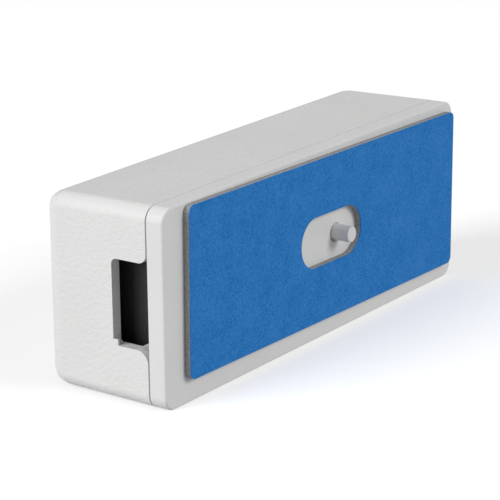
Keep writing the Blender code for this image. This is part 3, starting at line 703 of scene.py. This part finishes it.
def wind(name, middle, radius, reach, turns, along, wire, taper=0.0):
    """A coil spring or winding along one axis, at an even pitch."""
    points = []
    count = round(turns * 28)
    for i in range(count + 1):
        share = i / count
        angle = math.tau * turns * share
        size = radius + taper * share
        a, b = size * math.cos(angle), size * math.sin(angle)
        level = reach[0] + (reach[1] - reach[0]) * share
        x, depth, z = middle
        points.append(
            {
                "X": (level, depth + a, z + b),
                "Y": (x + a, level, z + b),
                "Z": (x + a, depth + b, level),
            }[along]
        )
    return thread_wire(name, points, wire)


SPRING_REACH = (14.75, 17.95)
music_wire = worked_metal("music_wire", (0.60, 0.59, 0.56), 0.26)
plunger_spring = wind("return_spring", (PIN[0], 0, PIN[1]), 1.75, SPRING_REACH, 3.5, "Y", 0.15)
dress(plunger_spring, music_wire, "base", "spring_steel", "plunger_spring")
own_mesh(plunger_spring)

# The tamper switch: a black nylon body with a bored well, under a stamped and folded cover.
# Four heat-formed studs hold the cover, and two tinned pins go down through the board.


def grained_black(name, colour=(0.02, 0.02, 0.021), roughness=0.5):
    """Black moulded plastic with a faint grain."""
    return patterned(
        name, colour, roughness, (4000, 3.0),
        ([c * 0.8 for c in colour], [c * 1.3 for c in colour]),
        (roughness - 0.08, roughness + 0.1), 0.012,
    )


def join(name, pieces):
    """Makes several pieces one."""
    bpy.ops.object.select_all(action="DESELECT")
    for piece in pieces:
        piece.select_set(True)
    bpy.context.view_layer.objects.active = pieces[0]
    bpy.ops.object.join()
    bpy.context.object.name = name
    return bpy.context.object


def row_of(piece, count, step):
    """Repeats a piece in a row, each copy a step (x, depth, z) from the last."""
    return finish_with(
        piece,
        "ARRAY",
        count=count,
        use_relative_offset=False,
        use_constant_offset=True,
        constant_offset_displace=[length * MM for length in step],
    )


def around(middle, half):
    """The two limits a half to either side of a middle."""
    return (middle - half, middle + half)


SWITCH_HALF = 3.0
TERMINAL_OUT = 2.3
WELL_RADIUS = 1.45
across_x, across_z = around(PIN[0], SWITCH_HALF), around(PIN[1], SWITCH_HALF)
switch = add_block("tamper_switch", across_x, (10.3, 13.9), across_z)
round_edges(switch, runs_deep, 0.4, 4)
for side in (-1, 1):
    vent_x = around(PIN[0] + side * SWITCH_HALF, 0.25)
    boolean(switch, add_block("vent", vent_x, (10, 13), around(PIN[1], 1.2)))
    terminal = (PIN[0] + side * TERMINAL_OUT, PIN[1])
    boolean(switch, add_rod("pin_pocket", terminal, 0.42, (10, 11.6), 24))
boolean(switch, add_rod("well", PIN, WELL_RADIUS, (10.8, 15)))
shade(soften(switch, 0.08))
dress(switch, grained_black("switch_nylon"), "base", "black_moulding", "switch_body")

cover = add_block("switch_lid", across_x, (14.1, 14.4), across_z)
round_edges(cover, runs_deep, 0.4, 4)
boolean(cover, add_rod("lid_hole", PIN, WELL_RADIUS, (13.5, 15)))
STUD_RINGS = [(13.8, 0.3), *round_over(14.6, 0.42, 0.2, 1)]
STUD_OUT = 2.35
studs = []
for side in (-1, 1):
    for level in (-1, 1):
        place = (PIN[0] + side * STUD_OUT, PIN[1] + level * STUD_OUT)
        studs.append(turn_up("stud", (place[0], 0, place[1]), STUD_RINGS, 20))
        boolean(cover, add_rod("stud_hole", place, 0.3, (13.5, 15), 20))
shade(soften(cover, 0.05))
lid_steel = worked_metal("lid_steel", (0.62, 0.62, 0.60), 0.3)
dress(cover, lid_steel, "base", "sheet_metal", "switch_cover")
stud_heads = shade(join("lid_studs", studs))
dress(stud_heads, grained_black("stud_nylon"), "base", "black_moulding")

tinned = worked_metal("tinned_copper", (0.70, 0.69, 0.66), 0.3)
for letter, side in (("a", -1), ("b", 1)):
    x = around(PIN[0] + side * TERMINAL_OUT, 0.3)
    pin = add_block("switch_pin_" + letter, x, (8.1, 11.4), around(PIN[1], 0.3))
    round_edges(pin, lies_at(8.1), 0.15, 2)
    shade(soften(pin, 0.05))
    dress(pin, tinned, "base", "tinned_metal", "switch_terminal_" + letter)

DOME_RINGS = [(10.85, 1.3), (10.95, 1.3), (11.0, 1.1), (11.07, 0.7), (11.1, 0.35)]
dome = shade(turn_up("snap_dome", (PIN[0], 0, PIN[1]), DOME_RINGS), 60)
dome_metal = worked_metal("dome_metal", (0.72, 0.64, 0.42), 0.22)
dress(dome, dome_metal, "base", "contact_metal", "contact_dome")

# The circuit board: 1 mm glass epoxy under a green mask, with tinned lands round its holes.
# Copper tracks run under the mask, and small chip parts are soldered on the front.
REED_FEET = (-29.9, -11.1)
REED_Z = 24.6
BOARD = ((-37.2, 0.6), (3.0, 27.0))


def circle(middle, radius, steps=32):
    """Points round a circle."""
    return arc(middle, radius, 0, 360, steps)[:-1]


hole_list = [(place, 1.25) for place in SCREW_PLACES + PEG_PLACES]
hole_list += [((PIN[0] + side * TERMINAL_OUT, PIN[1]), 0.6) for side in (-1, 1)]
hole_list += [((x, REED_Z), 0.55) for x in REED_FEET]
board = add_block("green_board", BOARD[0], (BOARD_FRONT, BOARD_BACK), BOARD[1])
round_edges(board, runs_deep, 1.0, 8)
for middle, radius in hole_list:
    boolean(board, add_rod("board_hole", middle, radius, (BOARD_FRONT - 1, BOARD_BACK + 1), 40))
shade(soften(board, 0.05))
mask = new_finish("green_mask", (0.015, 0.14, 0.05), 0.32)
weave = mask.nodes.new("ShaderNodeTexBrick")
weave.inputs["Scale"].default_value = 900
weave.inputs["Color1"].default_value = (0.012, 0.125, 0.045, 1.0)
weave.inputs["Color2"].default_value = (0.018, 0.155, 0.058, 1.0)
weave.inputs["Mortar"].default_value = (0.010, 0.105, 0.038, 1.0)
weave_turn = mask.nodes.new("ShaderNodeMapping")
weave_turn.inputs["Rotation"].default_value = (math.radians(90), 0, 0)
mask.links.new(mask.place, weave_turn.inputs["Vector"])
mask.links.new(weave_turn.outputs["Vector"], weave.inputs["Vector"])
mask.links.new(weave.outputs["Color"], mask.shader.inputs["Base Color"])
flow = grain(mask, 700, 3.0)
polish_by(mask, flow, 0.24, 0.42)
raise_by(mask, flow, 0.01)
dress(board, mask, "base", "board_green", "circuit_board")

# the tracks, as flattened copper ridges under the mask
TRACKS = [
    [(-29.9, 24.6), (-29.9, 22.6), (-31.9, 20.6), (-31.9, 10.0), (-30.6, 8.7)],
    [(-11.1, 24.6), (-11.1, 22.4), (-14.6, 18.9), (-14.6, 8.2), (-13.9, 7.5)],
    [(-6.7, 16.1), (-7.5, 15.3), (-7.5, 9.2), (-8.0, 8.7)],
    [(-2.1, 16.1), (-2.1, 12.9), (-3.4, 11.6), (-3.4, 10.2)],
    [(-1.9, 18.2), (-1.9, 20.2), (-6.4, 20.2), (-8.2, 18.9)],
    [(-1.9, 12.4), (-3.6, 12.4), (-4.6, 11.4), (-4.6, 9.6)],
    [(-20.5, 19.8), (-18.6, 19.8), (-16.0, 17.2), (-16.0, 9.2), (-13.9, 8.5)],
    [(-29.84, 19.85), (-29.84, 17.6), (-29.4, 17.2)],
    [(-27.3, 19.85), (-27.3, 17.2)],
    [(-24.76, 19.85), (-24.76, 17.2)],
    [(-12.5, 13.4), (-12.5, 10.6)],
    [(-9.1, 13.4), (-9.1, 10.6)],
    [(-34.6, 10.2), (-32.8, 8.4), (-32.8, 5.6), (-30.6, 5.6)],
    [(-8.0, 5.6), (-6.4, 4.4), (-22.0, 3.7), (-33.0, 3.7)],
    [(-8.0, 7.0), (-6.6, 7.0), (-5.4, 7.6)],
]
runs = [
    thread_wire("track", [(x, BOARD_FRONT, z) for x, z in run], 0.16, 0) for run in TRACKS
]
tracks = join("board_tracks", runs)
with editing():
    bpy.ops.mesh.select_all(action="SELECT")
    bpy.ops.transform.resize(value=(1, 0.2, 1), center_override=at(0, BOARD_FRONT, 0))
shade(tracks, 30)
covered = new_finish("masked_copper", (0.03, 0.24, 0.08), 0.3)
flow = grain(covered, 900, 3.0)
tint_by(covered, flow, (0.025, 0.21, 0.07), (0.04, 0.27, 0.10))
polish_by(covered, flow, 0.24, 0.4)
dress(tracks, covered, "base", "board_green")

# tinned lands round the holes, on both faces
LAND_REACHES = (
    (BOARD_FRONT - 0.035, BOARD_FRONT + 0.02),
    (BOARD_BACK - 0.02, BOARD_BACK + 0.035),
)
lands = []
for middle, radius in hole_list:
    ring = [circle(middle, radius + 0.45), circle(middle, radius + 0.02)]
    lands += [add_flat("land", ring, reach) for reach in LAND_REACHES]
lands = shade(join("board_lands", lands))
dress(lands, tinned, "base", "tinned_metal")

# chip resistors and capacitors: ceramic bodies between two tinned ends
CHIP_PARTS = [
    (-17.2, 21.6, "X"), (-15.2, 5.2, "Z"), (-15.2, 7.6, "Z"), (-7.0, 12.6, "X"),
    (-13.4, 15.9, "X"), (-8.2, 15.9, "X"), (-6.2, 4.9, "X"), (-10.8, 11.6, "X"),
    (-33.6, 12.0, "Z"), (-33.6, 14.6, "Z"), (-22.6, 21.9, "X"), (-5.6, 21.4, "X"),
    (-14.2, 12.0, "Z"),
]
BODY_LONG, BODY_WIDE = 0.55, 0.4
CAP_OUT, CAP_LONG, CAP_WIDE = 0.68, 0.14, 0.42
bodies, ends = [], []
for number, (x, z, along) in enumerate(CHIP_PARTS):
    front = 8.3 if number % 3 else 8.5
    body_half, cap_half = (BODY_LONG, BODY_WIDE), (CAP_LONG, CAP_WIDE)
    out = (CAP_OUT, 0)
    if along == "Z":
        body_half, cap_half, out = body_half[::-1], cap_half[::-1], out[::-1]
    reach = (front, BOARD_FRONT)
    body = add_block("chip_body", around(x, body_half[0]), reach, around(z, body_half[1]))
    bodies.append(soften(body, 0.04))
    for side in (-1, 1):
        cap_x = around(x + side * out[0], cap_half[0])
        cap_z = around(z + side * out[1], cap_half[1])
        end = add_block("chip_end", cap_x, (front - 0.03, BOARD_FRONT), cap_z)
        ends.append(soften(end, 0.06))
ceramic = patterned(
    "chip_ceramic", (0.30, 0.22, 0.14), 0.4, (5000, 3.0),
    ((0.20, 0.15, 0.10), (0.36, 0.27, 0.18)), (0.3, 0.5), 0.01,
)
dress(shade(join("chip_bodies", bodies)), ceramic, "base", "chip_black")
dress(shade(join("chip_ends", ends)), tinned, "base", "tinned_metal")

# solder joints where the two battery leads meet the board
LEAD_ENDS = ((-1.9, 18.2), (-1.9, 12.4))
CONE_RINGS = [(9.0, 1.0), (8.8, 0.92), (8.55, 0.7), (8.3, 0.62), (8.1, 0.58), (7.95, 0.4)]
cones = [turn_up("joint", (x, 0, z), CONE_RINGS, 32) for x, z in LEAD_ENDS]
solder = worked_metal("solder", (0.66, 0.66, 0.65), 0.26, scale=1200)
dress(shade(join("lead_joints", cones), 60), solder, "base", "tinned_metal")

# The two board screws: small pan-head thread-forming screws in zinc-plated steel.
# They go through the board into two of the base plate's posts.
zinc = worked_metal("zinc_plate", (0.62, 0.63, 0.66), 0.28)
SCREW_RINGS = [
    (7.4, 0.9), (7.42, 1.3), (7.55, 1.62), (7.8, 1.88), (8.1, 1.98), (8.55, 2.0), (8.7, 1.95),
    (8.7, 0.8),
]
THREAD_PITCH = 0.6
for turn in range(9):
    top = 9.6 + THREAD_PITCH * turn
    SCREW_RINGS += [(top, 0.72), (top + 0.22, 0.8), (top + 0.32, 0.98), (top + 0.42, 0.8)]
SCREW_RINGS += [(15.0, 0.5)]
for number, place in enumerate(SCREW_PLACES, 1):
    screw = turn_up(f"pan_screw_{number}", (place[0], 0, place[1]), SCREW_RINGS, 40)
    for wide, tall in ((1.1, 0.22), (0.22, 1.1)):
        recess = add_block("recess", around(place[0], wide), (7, 8.1), around(place[1], tall))
        boolean(screw, recess)
    shade(screw, 30)
    dress(screw, zinc, "base", "screw_steel", f"board_screw_{number}")

# The battery tray: a black ABS box, open at the front, glued to the base plate.
# Its long sides are cut low so that a thumb can lift the cell.
tray = add_block("cell_tray", (3.0, 35.5), (5.5, 19.15), (6.0, 24.0))
round_edges(tray, runs_deep, 0.5, 4)
boolean(tray, add_block("tray_well", (4.5, 34.0), (4.5, 17.65), (7.2, 22.8)))
boolean(tray, add_block("thumb_cut", (7.0, 31.5), (4.5, 9.5), (5.0, 25.0)))
for x in (10.0, 19.25, 28.5):
    for side in (-1, 1):
        level = 15 + side * 7.7
        cradle = add_block("cradle", around(x, 0.5), (12.5, 17.9), around(level, 0.3))
        boolean(tray, cradle, "UNION")
shade(soften(tray, 0.15))
tray_abs = grained_black("tray_abs", (0.012, 0.012, 0.013), 0.58)
dress(tray, tray_abs, "base", "tray_black", "battery_tray")

# The battery cell: a lithium cell of 14.5 x 25 mm, a steel can in a shrunk printed sleeve.
# The sleeve curls over both ends and leaves the nub and a ring of steel bare.
CELL_PLACE = (0, 10.1, 15)
SLEEVE_REACH = (7.9, 31.7)
SLEEVE_RINGS = [
    (7.9, 5.9), (7.86, 6.3), (7.95, 6.85), (8.3, 7.18), (8.6, 7.25), (31.0, 7.25),
    (31.4, 7.16), (31.68, 6.85), (31.76, 6.3), (31.72, 5.9),
]
sleeve = turn_up("cell_sleeve", CELL_PLACE, SLEEVE_RINGS, 96, "X")
shade(sleeve, 60)
print_blue = new_finish("sleeve_film", (0.06, 0.16, 0.30), 0.25)
split = print_blue.nodes.new("ShaderNodeSeparateXYZ")
print_blue.links.new(print_blue.place, split.inputs["Vector"])
band = print_blue.nodes.new("ShaderNodeValToRGB")
band.color_ramp.interpolation = "CONSTANT"
BANDS = ((0.0, (0.05, 0.13, 0.27)), (0.70, (0.55, 0.56, 0.58)), (0.735, (0.04, 0.05, 0.07)))
for i, (share, colour) in enumerate(BANDS):
    stop = band.color_ramp.elements[i] if i < 2 else band.color_ramp.elements.new(share)
    stop.position = share
    stop.color = (*colour, 1.0)
along = print_blue.nodes.new("ShaderNodeMapRange")
along.inputs["From Min"].default_value = SLEEVE_REACH[0] * MM
along.inputs["From Max"].default_value = SLEEVE_REACH[1] * MM
print_blue.links.new(split.outputs["X"], along.inputs["Value"])
print_blue.links.new(along.outputs["Result"], band.inputs["Fac"])
print_blue.links.new(band.outputs["Color"], print_blue.shader.inputs["Base Color"])
crease = grain(print_blue, 500, 3.0, (0.5, 1, 1))
polish_by(print_blue, crease, 0.18, 0.34)
raise_by(print_blue, crease, 0.02)
print_blue.shader.inputs["Coat Weight"].default_value = 0.3
dress(sleeve, print_blue, "base", "cell_sleeve", "battery_cell")

POSITIVE_END = [
    (31.5, 5.95), (31.74, 5.95), (31.74, 4.4), (31.85, 4.2), (31.9, 2.75), (32.1, 2.62),
    *round_over(33.0, 2.55, 0.25, 1),
]
NEGATIVE_END = [(7.92, 3.2), (7.88, 3.4), (7.88, 5.8), (7.92, 5.95), (8.2, 5.95)]
cap = turn_up("cap", CELL_PLACE, POSITIVE_END, 64, "X")
foot = turn_up("foot", CELL_PLACE, NEGATIVE_END, 64, "X")
cell_ends = shade(join("cell_ends", [cap, foot]), 30)
can_steel = worked_metal("can_steel", (0.66, 0.65, 0.62), 0.3, scale=1200)
dress(cell_ends, can_steel, "base", "sheet_metal")

# The cell's contacts: a nickel-plated strip at each end, with a cone spring at the negative.


def runs_through(edge):
    """Says whether an edge crosses a strip's thickness, along X."""
    a, b = (vert.co for vert in edge.verts)
    return abs(a.x - b.x) > 0.3 * MM


nickel = worked_metal("nickel_plate", (0.70, 0.68, 0.62), 0.26, (1, 6, 1), 900)
for end, x, side in (("positive", 33.3, -1), ("negative", 4.9, 1)):
    strip = add_block(end + "_strip", (x, x + 0.4), (5.5, 14.7), (10.5, 19.5))
    round_edges(strip, runs_through, 0.8, 5)
    shade(soften(strip, 0.06))
    dress(strip, nickel, "base", "contact_metal", end + "_contact")
cone = wind("cone_spring", CELL_PLACE, 1.9, (7.4, 5.9), 3.0, "X", 0.3, 1.6)
dress(cone, music_wire, "base", "spring_steel", "battery_spring")

# The two battery leads: stranded copper in soft PVC, one red and one black.
# They are soldered to the contacts and into the board, and loop round the tray's end.


def smooth_route(knots, steps=8):
    """A smooth curve through the knots."""
    ends = [Vector(knot) for knot in (knots[0], *knots, knots[-1])]
    points = []
    for a, b, c, d in zip(ends, ends[1:], ends[2:], ends[3:]):
        for step in range(steps):
            t = step / steps
            flat = 2 * b + (c - a) * t + (2 * a - 5 * b + 4 * c - d) * t**2
            points.append((flat + (3 * b - a - 3 * c + d) * t**3) / 2)
    return [*points, ends[-1]]


POSITIVE_KNOTS = [
    (33.5, 4.7, 19.0), (33.3, 4.4, 21.5), (31.6, 4.8, 24.6), (28.0, 6.2, 25.3),
    (20.0, 6.8, 25.3), (11.0, 6.8, 25.3), (4.0, 6.9, 25.2), (1.7, 7.0, 23.6), (0.5, 7.2, 20.6),
    (-1.0, 7.6, 18.8), (-1.9, 8.1, 18.2),
]
NEGATIVE_KNOTS = [
    (5.1, 4.6, 13.5), (4.8, 4.4, 12.0), (3.6, 4.5, 10.9), (2.2, 5.2, 10.2), (0.9, 6.6, 10.2),
    (-0.6, 7.6, 11.2), (-1.9, 8.1, 12.4),
]
LEADS = (
    ("positive", POSITIVE_KNOTS, (0.42, 0.012, 0.012), "lead_red"),
    ("negative", NEGATIVE_KNOTS, (0.015, 0.015, 0.016), "lead_black"),
)
for end, knots, colour, slot in LEADS:
    lead = thread_wire(end + "_wire", smooth_route(knots), 0.55, 5)
    pvc = patterned(
        end + "_pvc", colour, 0.42, (1800, 3.0),
        ([c * 0.8 for c in colour], [c * 1.15 for c in colour]), (0.34, 0.5), 0.012,
    )
    dress(lead, pvc, "base", slot, end + "_lead")

# The reed switch: a green glass tube sealed round two tinned leads that bend to the board.
# Inside it, two flattened nickel-iron blades meet when a magnet comes near.
REED = (-27.5, -13.5)
REED_DEPTH = 7.3
reed_rings = [
    *round_over(REED[0], 1.15, 0.6, -1, 6),
    *round_over(REED[1], 1.15, 0.6, 1, 6),
]
tube = turn_up("reed_tube", (0, REED_DEPTH, REED_Z), reed_rings, 48, "X")
bore_rings = [
    *round_over(REED[0] + 0.9, 0.8, 0.5, -1, 5),
    *round_over(REED[1] - 0.9, 0.8, 0.5, 1, 5),
]
boolean(tube, turn_up("reed_bore", (0, REED_DEPTH, REED_Z), bore_rings, 48, "X"))
shade(tube, 60)
glass = new_finish("green_glass", (0.80, 0.93, 0.85), 0.03)
glass.shader.inputs["Transmission Weight"].default_value = 1.0
glass.shader.inputs["IOR"].default_value = 1.5
draw_lines = grain(glass, 700, 2.0, (0.3, 1, 1))
polish_by(glass, draw_lines, 0.01, 0.08)
raise_by(glass, draw_lines, 0.004)
dress(tube, glass, "base", "reed_glass", "reed_glass")
REED_BEND = 0.6
for letter, side, root, foot in zip("ab", (1, -1), REED, REED_FEET):
    bend = []
    for angle in [math.radians(15 * i) for i in range(7)]:
        out = foot + side * REED_BEND * (1 - math.sin(angle))
        bend.append((out, REED_DEPTH + REED_BEND * (1 - math.cos(angle)), REED_Z))
    points = [(root + side * 0.3, REED_DEPTH, REED_Z), *bend, (foot, BOARD_BACK + 0.9, REED_Z)]
    lead = thread_wire("reed_wire_" + letter, points, 0.3, 4)
    dress(lead, tinned, "base", "tinned_metal", "reed_lead_" + letter)
permalloy = worked_metal("permalloy", (0.68, 0.65, 0.58), 0.24, (0.3, 1, 1))

# The radio module: a small blue board with half-holes down both sides, under a shield can.
# The can is one folded sheet with vent holes, soldered round its skirt.
MODULE_SIDES = (-30.5, -16.5)
HALF_HOLES = [5.0 + 1.27 * i for i in range(9)]
module = add_block("module_board", MODULE_SIDES, (7.9, 8.7), (4.2, 17.0))
for x in MODULE_SIDES:
    for z in HALF_HOLES:
        boolean(module, add_rod("half_hole", (x, z), 0.35, (7, 9.5), 20))
shade(soften(module, 0.04))
blue_mask = patterned(
    "blue_mask", (0.015, 0.07, 0.20), 0.3, (1100, 3.0),
    ((0.012, 0.055, 0.16), (0.02, 0.085, 0.23)), (0.24, 0.4), 0.01,
)
dress(module, blue_mask, "base", "module_blue", "radio_module")

pads = []
for x, start, end in zip(MODULE_SIDES, (-90, 90), (90, 270)):
    for z in HALF_HOLES:
        outer = arc((x, z), 0.62, start, end, 10)
        inner = arc((x, z), 0.34, end, start, 10)
        pads.append(add_flat("pad", [outer + inner], (7.86, 8.98)))
gold = worked_metal("gold_flash", (0.78, 0.60, 0.28), 0.24)
dress(shade(join("module_pads", pads)), gold, "base", "contact_metal")

shield = add_block("shield_can", (-29.0, -19.0), (5.7, 7.88), (5.4, 15.8))
round_edges(shield, runs_deep, 0.5, 4)
round_edges(shield, lies_at(5.7), 0.3, 4)
for i in range(5):
    for j in range(2):
        place = (-27.4 + 1.7 * i, 8.4 + 4.2 * j)
        boolean(shield, add_rod("vent", place, 0.38, (5, 6.1), 20))
for x in (-29.0, -19.0):
    for z in (7.2, 10.6, 14.0):
        boolean(shield, add_block("skirt_slot", around(x, 0.12), (6.9, 8.5), around(z, 0.35)))
shade(shield, 30)
shield_steel = worked_metal("shield_steel", (0.64, 0.64, 0.62), 0.3, (1, 1, 5), 900)
dress(shield, shield_steel, "base", "sheet_metal", "radio_shield")

# The controller: a black epoxy flat pack with gull-wing legs on all four sides.
# The tinned legs are stamped and bent, and soldered flat on the board.
CHIP = (-10.8, 7.4)
CHIP_HALF = 2.3
LEG_SHAPE = [
    (2.2, 8.05), (2.5, 8.05), (2.6, 8.72), (2.95, 8.78), (2.95, 8.95), (2.45, 8.95),
    (2.35, 8.2), (2.2, 8.2),
]
LEG_HALF = 0.11
chip = add_block("flat_pack", around(CHIP[0], CHIP_HALF), (7.6, 8.75), around(CHIP[1], CHIP_HALF))
round_edges(chip, runs_deep, 0.3, 2)
round_edges(chip, lies_at(7.6), 0.12, 2)
boolean(chip, add_rod("first_leg_mark", (-12.4, 5.8), 0.3, (7, 7.7), 24))
shade(chip, 30)
epoxy = grained_black("chip_epoxy", (0.022, 0.022, 0.024), 0.42)
dress(chip, epoxy, "base", "chip_black", "microcontroller")
legs = []
for turn in range(4):
    side = 1 if turn < 2 else -1
    for level in [-1.75 + 0.5 * i for i in range(8)]:
        if turn % 2 == 0:
            foot = [(depth, CHIP[1] + side * out) for out, depth in LEG_SHAPE]
            legs.append(add_flat("leg", [foot], around(CHIP[0] + level, LEG_HALF), "X"))
        else:
            foot = [(depth, side * out) for out, depth in LEG_SHAPE]
            leg = add_flat("leg", [foot], around(0, LEG_HALF), "X")
            leg.rotation_euler = (0, math.radians(90), 0)
            leg.location = (CHIP[0] * MM, 0, (CHIP[1] + level) * MM)
            make_only(leg)
            legs.append(settle("leg"))
dress(shade(join("chip_legs", legs)), tinned, "base", "tinned_metal")

# The crystal: a low pressed steel can with round ends, welded to a flanged foot.
# It lies above the controller, soldered to the board.
CRYSTAL = (-10.8, 13.4)
crystal = add_block("crystal_can", around(CRYSTAL[0], 2.5), (6.6, 8.6), around(CRYSTAL[1], 1.05))
round_edges(crystal, runs_deep, 1.04, 12)
round_edges(crystal, lies_at(6.6), 0.3, 4)
flange = add_block("flange", around(CRYSTAL[0], 2.8), (8.4, 8.9), around(CRYSTAL[1], 1.3))
round_edges(flange, runs_deep, 1.29, 12)
boolean(crystal, round_edges(flange, lies_at(8.4), 0.1, 2), "UNION")
shade(crystal, 30)
pressed = worked_metal("pressed_steel", (0.68, 0.68, 0.67), 0.24)
dress(crystal, pressed, "base", "sheet_metal", "crystal")

# The capacitor: a drawn aluminium can with a neck rolled in near the board.
# Its top is scored with a cross, so that it can vent.
CAN_RINGS = [
    (3.9, 1.5), *round_over(3.9, 2.0, 0.3, -1, 4)[1:], (7.2, 2.0), (7.4, 1.88), (7.6, 1.84),
    (7.8, 1.88), (8.0, 2.0), (8.5, 2.0), (8.7, 1.85),
]
CAN = (-4.6, 9.6)
can = turn_up("drawn_can", (CAN[0], 0, CAN[1]), CAN_RINGS)
for wide, tall in ((1.3, 0.07), (0.07, 1.3)):
    boolean(can, add_block("score", around(CAN[0], wide), (3.5, 3.97), around(CAN[1], tall)))
shade(can, 30)
drawn = worked_metal("drawn_aluminium", (0.66, 0.67, 0.69), 0.3, (1, 5, 1))
dress(can, drawn, "base", "capacitor_can", "capacitor")

# The lamp: a chip light-emitting diode, a cup filled with pale amber gel.
# It is soldered to the board behind the light pipe.
lamp = add_block("chip_lamp", around(LAMP[0], 0.8), (7.9, 8.98), around(LAMP[1], 0.6))
with editing():
    pick(lamp, "faces", faces_to(-1))
    bpy.ops.mesh.inset(thickness=0.15 * MM)
    bpy.ops.mesh.extrude_region_move(TRANSFORM_OT_translate={"value": (0, 0.12 * MM, 0)})
shade(soften(lamp, 0.04))
gel = patterned(
    "lamp_gel", (0.85, 0.80, 0.62), 0.25, (3000, 2.0),
    ((0.80, 0.74, 0.52), (0.88, 0.84, 0.70)), (0.18, 0.32), 0.01,
)
dress(lamp, gel, "base", "lamp", "status_led")

# The aerial: six turns of enamelled copper wire, wound on a rod and slipped off it.
# It stands beside the radio module.
aerial = wind("aerial_coil", (-34.6, 6.1, 0), 1.9, (10.2, 19.8), 6.0, "Z", 0.3)
enamel = worked_metal("enamelled_copper", (0.74, 0.37, 0.18), 0.26)
dress(aerial, enamel, "base", "copper", "antenna_coil")

# The pairing switch: a low tactile switch, a black nylon body with a well for its button.
# The grey nylon button slides in the well, and four tinned feet hold the switch to the board.
KEY = (-10.8, 18.9)
KEY_HALF = 2.25
FOOT_OUT = (2.6, 1.5)
key_x, key_z = around(KEY[0], KEY_HALF), around(KEY[1], KEY_HALF)
key = add_block("tactile_switch", key_x, (7.1, 8.98), key_z)
round_edges(key, runs_deep, 0.3, 3)
boolean(key, add_rod("button_well", KEY, 1.35, (6, 8.3)))
shade(soften(key, 0.08))
dress(key, grained_black("key_nylon"), "base", "black_moulding", "pairing_switch")
key_feet = []
for side in (-1, 1):
    for level in (-1, 1):
        foot_x = around(KEY[0] + side * FOOT_OUT[0], 0.45)
        foot_z = around(KEY[1] + level * FOOT_OUT[1], 0.35)
        foot = add_block("foot", foot_x, (8.7, 8.95), foot_z)
        key_feet.append(soften(foot, 0.05))
dress(shade(join("key_feet", key_feet)), tinned, "base", "tinned_metal")
BUTTON_RINGS = [*round_over(6.0, 1.1, 0.18, -1), *round_over(7.9, 1.1, 0.1, 1, 2)]
button = turn_up("grey_button", (KEY[0], 0, KEY[1]), BUTTON_RINGS, 48)
shade(button, 30)
button_grey = patterned(
    "button_nylon", (0.55, 0.55, 0.53), 0.5, (3500, 3.0),
    ((0.48, 0.48, 0.46), (0.58, 0.58, 0.56)), (0.42, 0.56), 0.01,
)
dress(button, button_grey, "button", "button_grey", "pairing_button")

# The programming header: three gold-flashed square pins pressed through a black strip.
# The strip is moulded nylon, notched between its pins.
HEADER = ((-31.2, -23.4), (18.6, 21.1))
strip = add_block("header_strip", HEADER[0], (6.4, 8.98), HEADER[1])
for x in (-31.2, -28.57, -26.03, -23.4):
    for z in HEADER[1]:
        boolean(strip, add_rod("notch", (x, z), 0.4, (6, 9.5), 4))
shade(soften(strip, 0.08))
dress(strip, grained_black("header_nylon"), "base", "black_moulding", "programming_header")
POST_PITCH = 2.54
post = add_block("header_posts", around(-29.84, 0.3), (3.6, 6.5), around(19.85, 0.3))
round_edges(post, lies_at(3.6), 0.15, 2)
soften(post, 0.05)
dress(shade(row_of(post, 3, (POST_PITCH, 0, 0))), gold, "base", "contact_metal")

# the blades ride on bodies of their own, so they keep their shape and take a finish
for node in ("reed_blade_a", "reed_blade_b"):
    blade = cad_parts[node].data
    blade.materials.clear()
    blade.materials.append(permalloy.material)
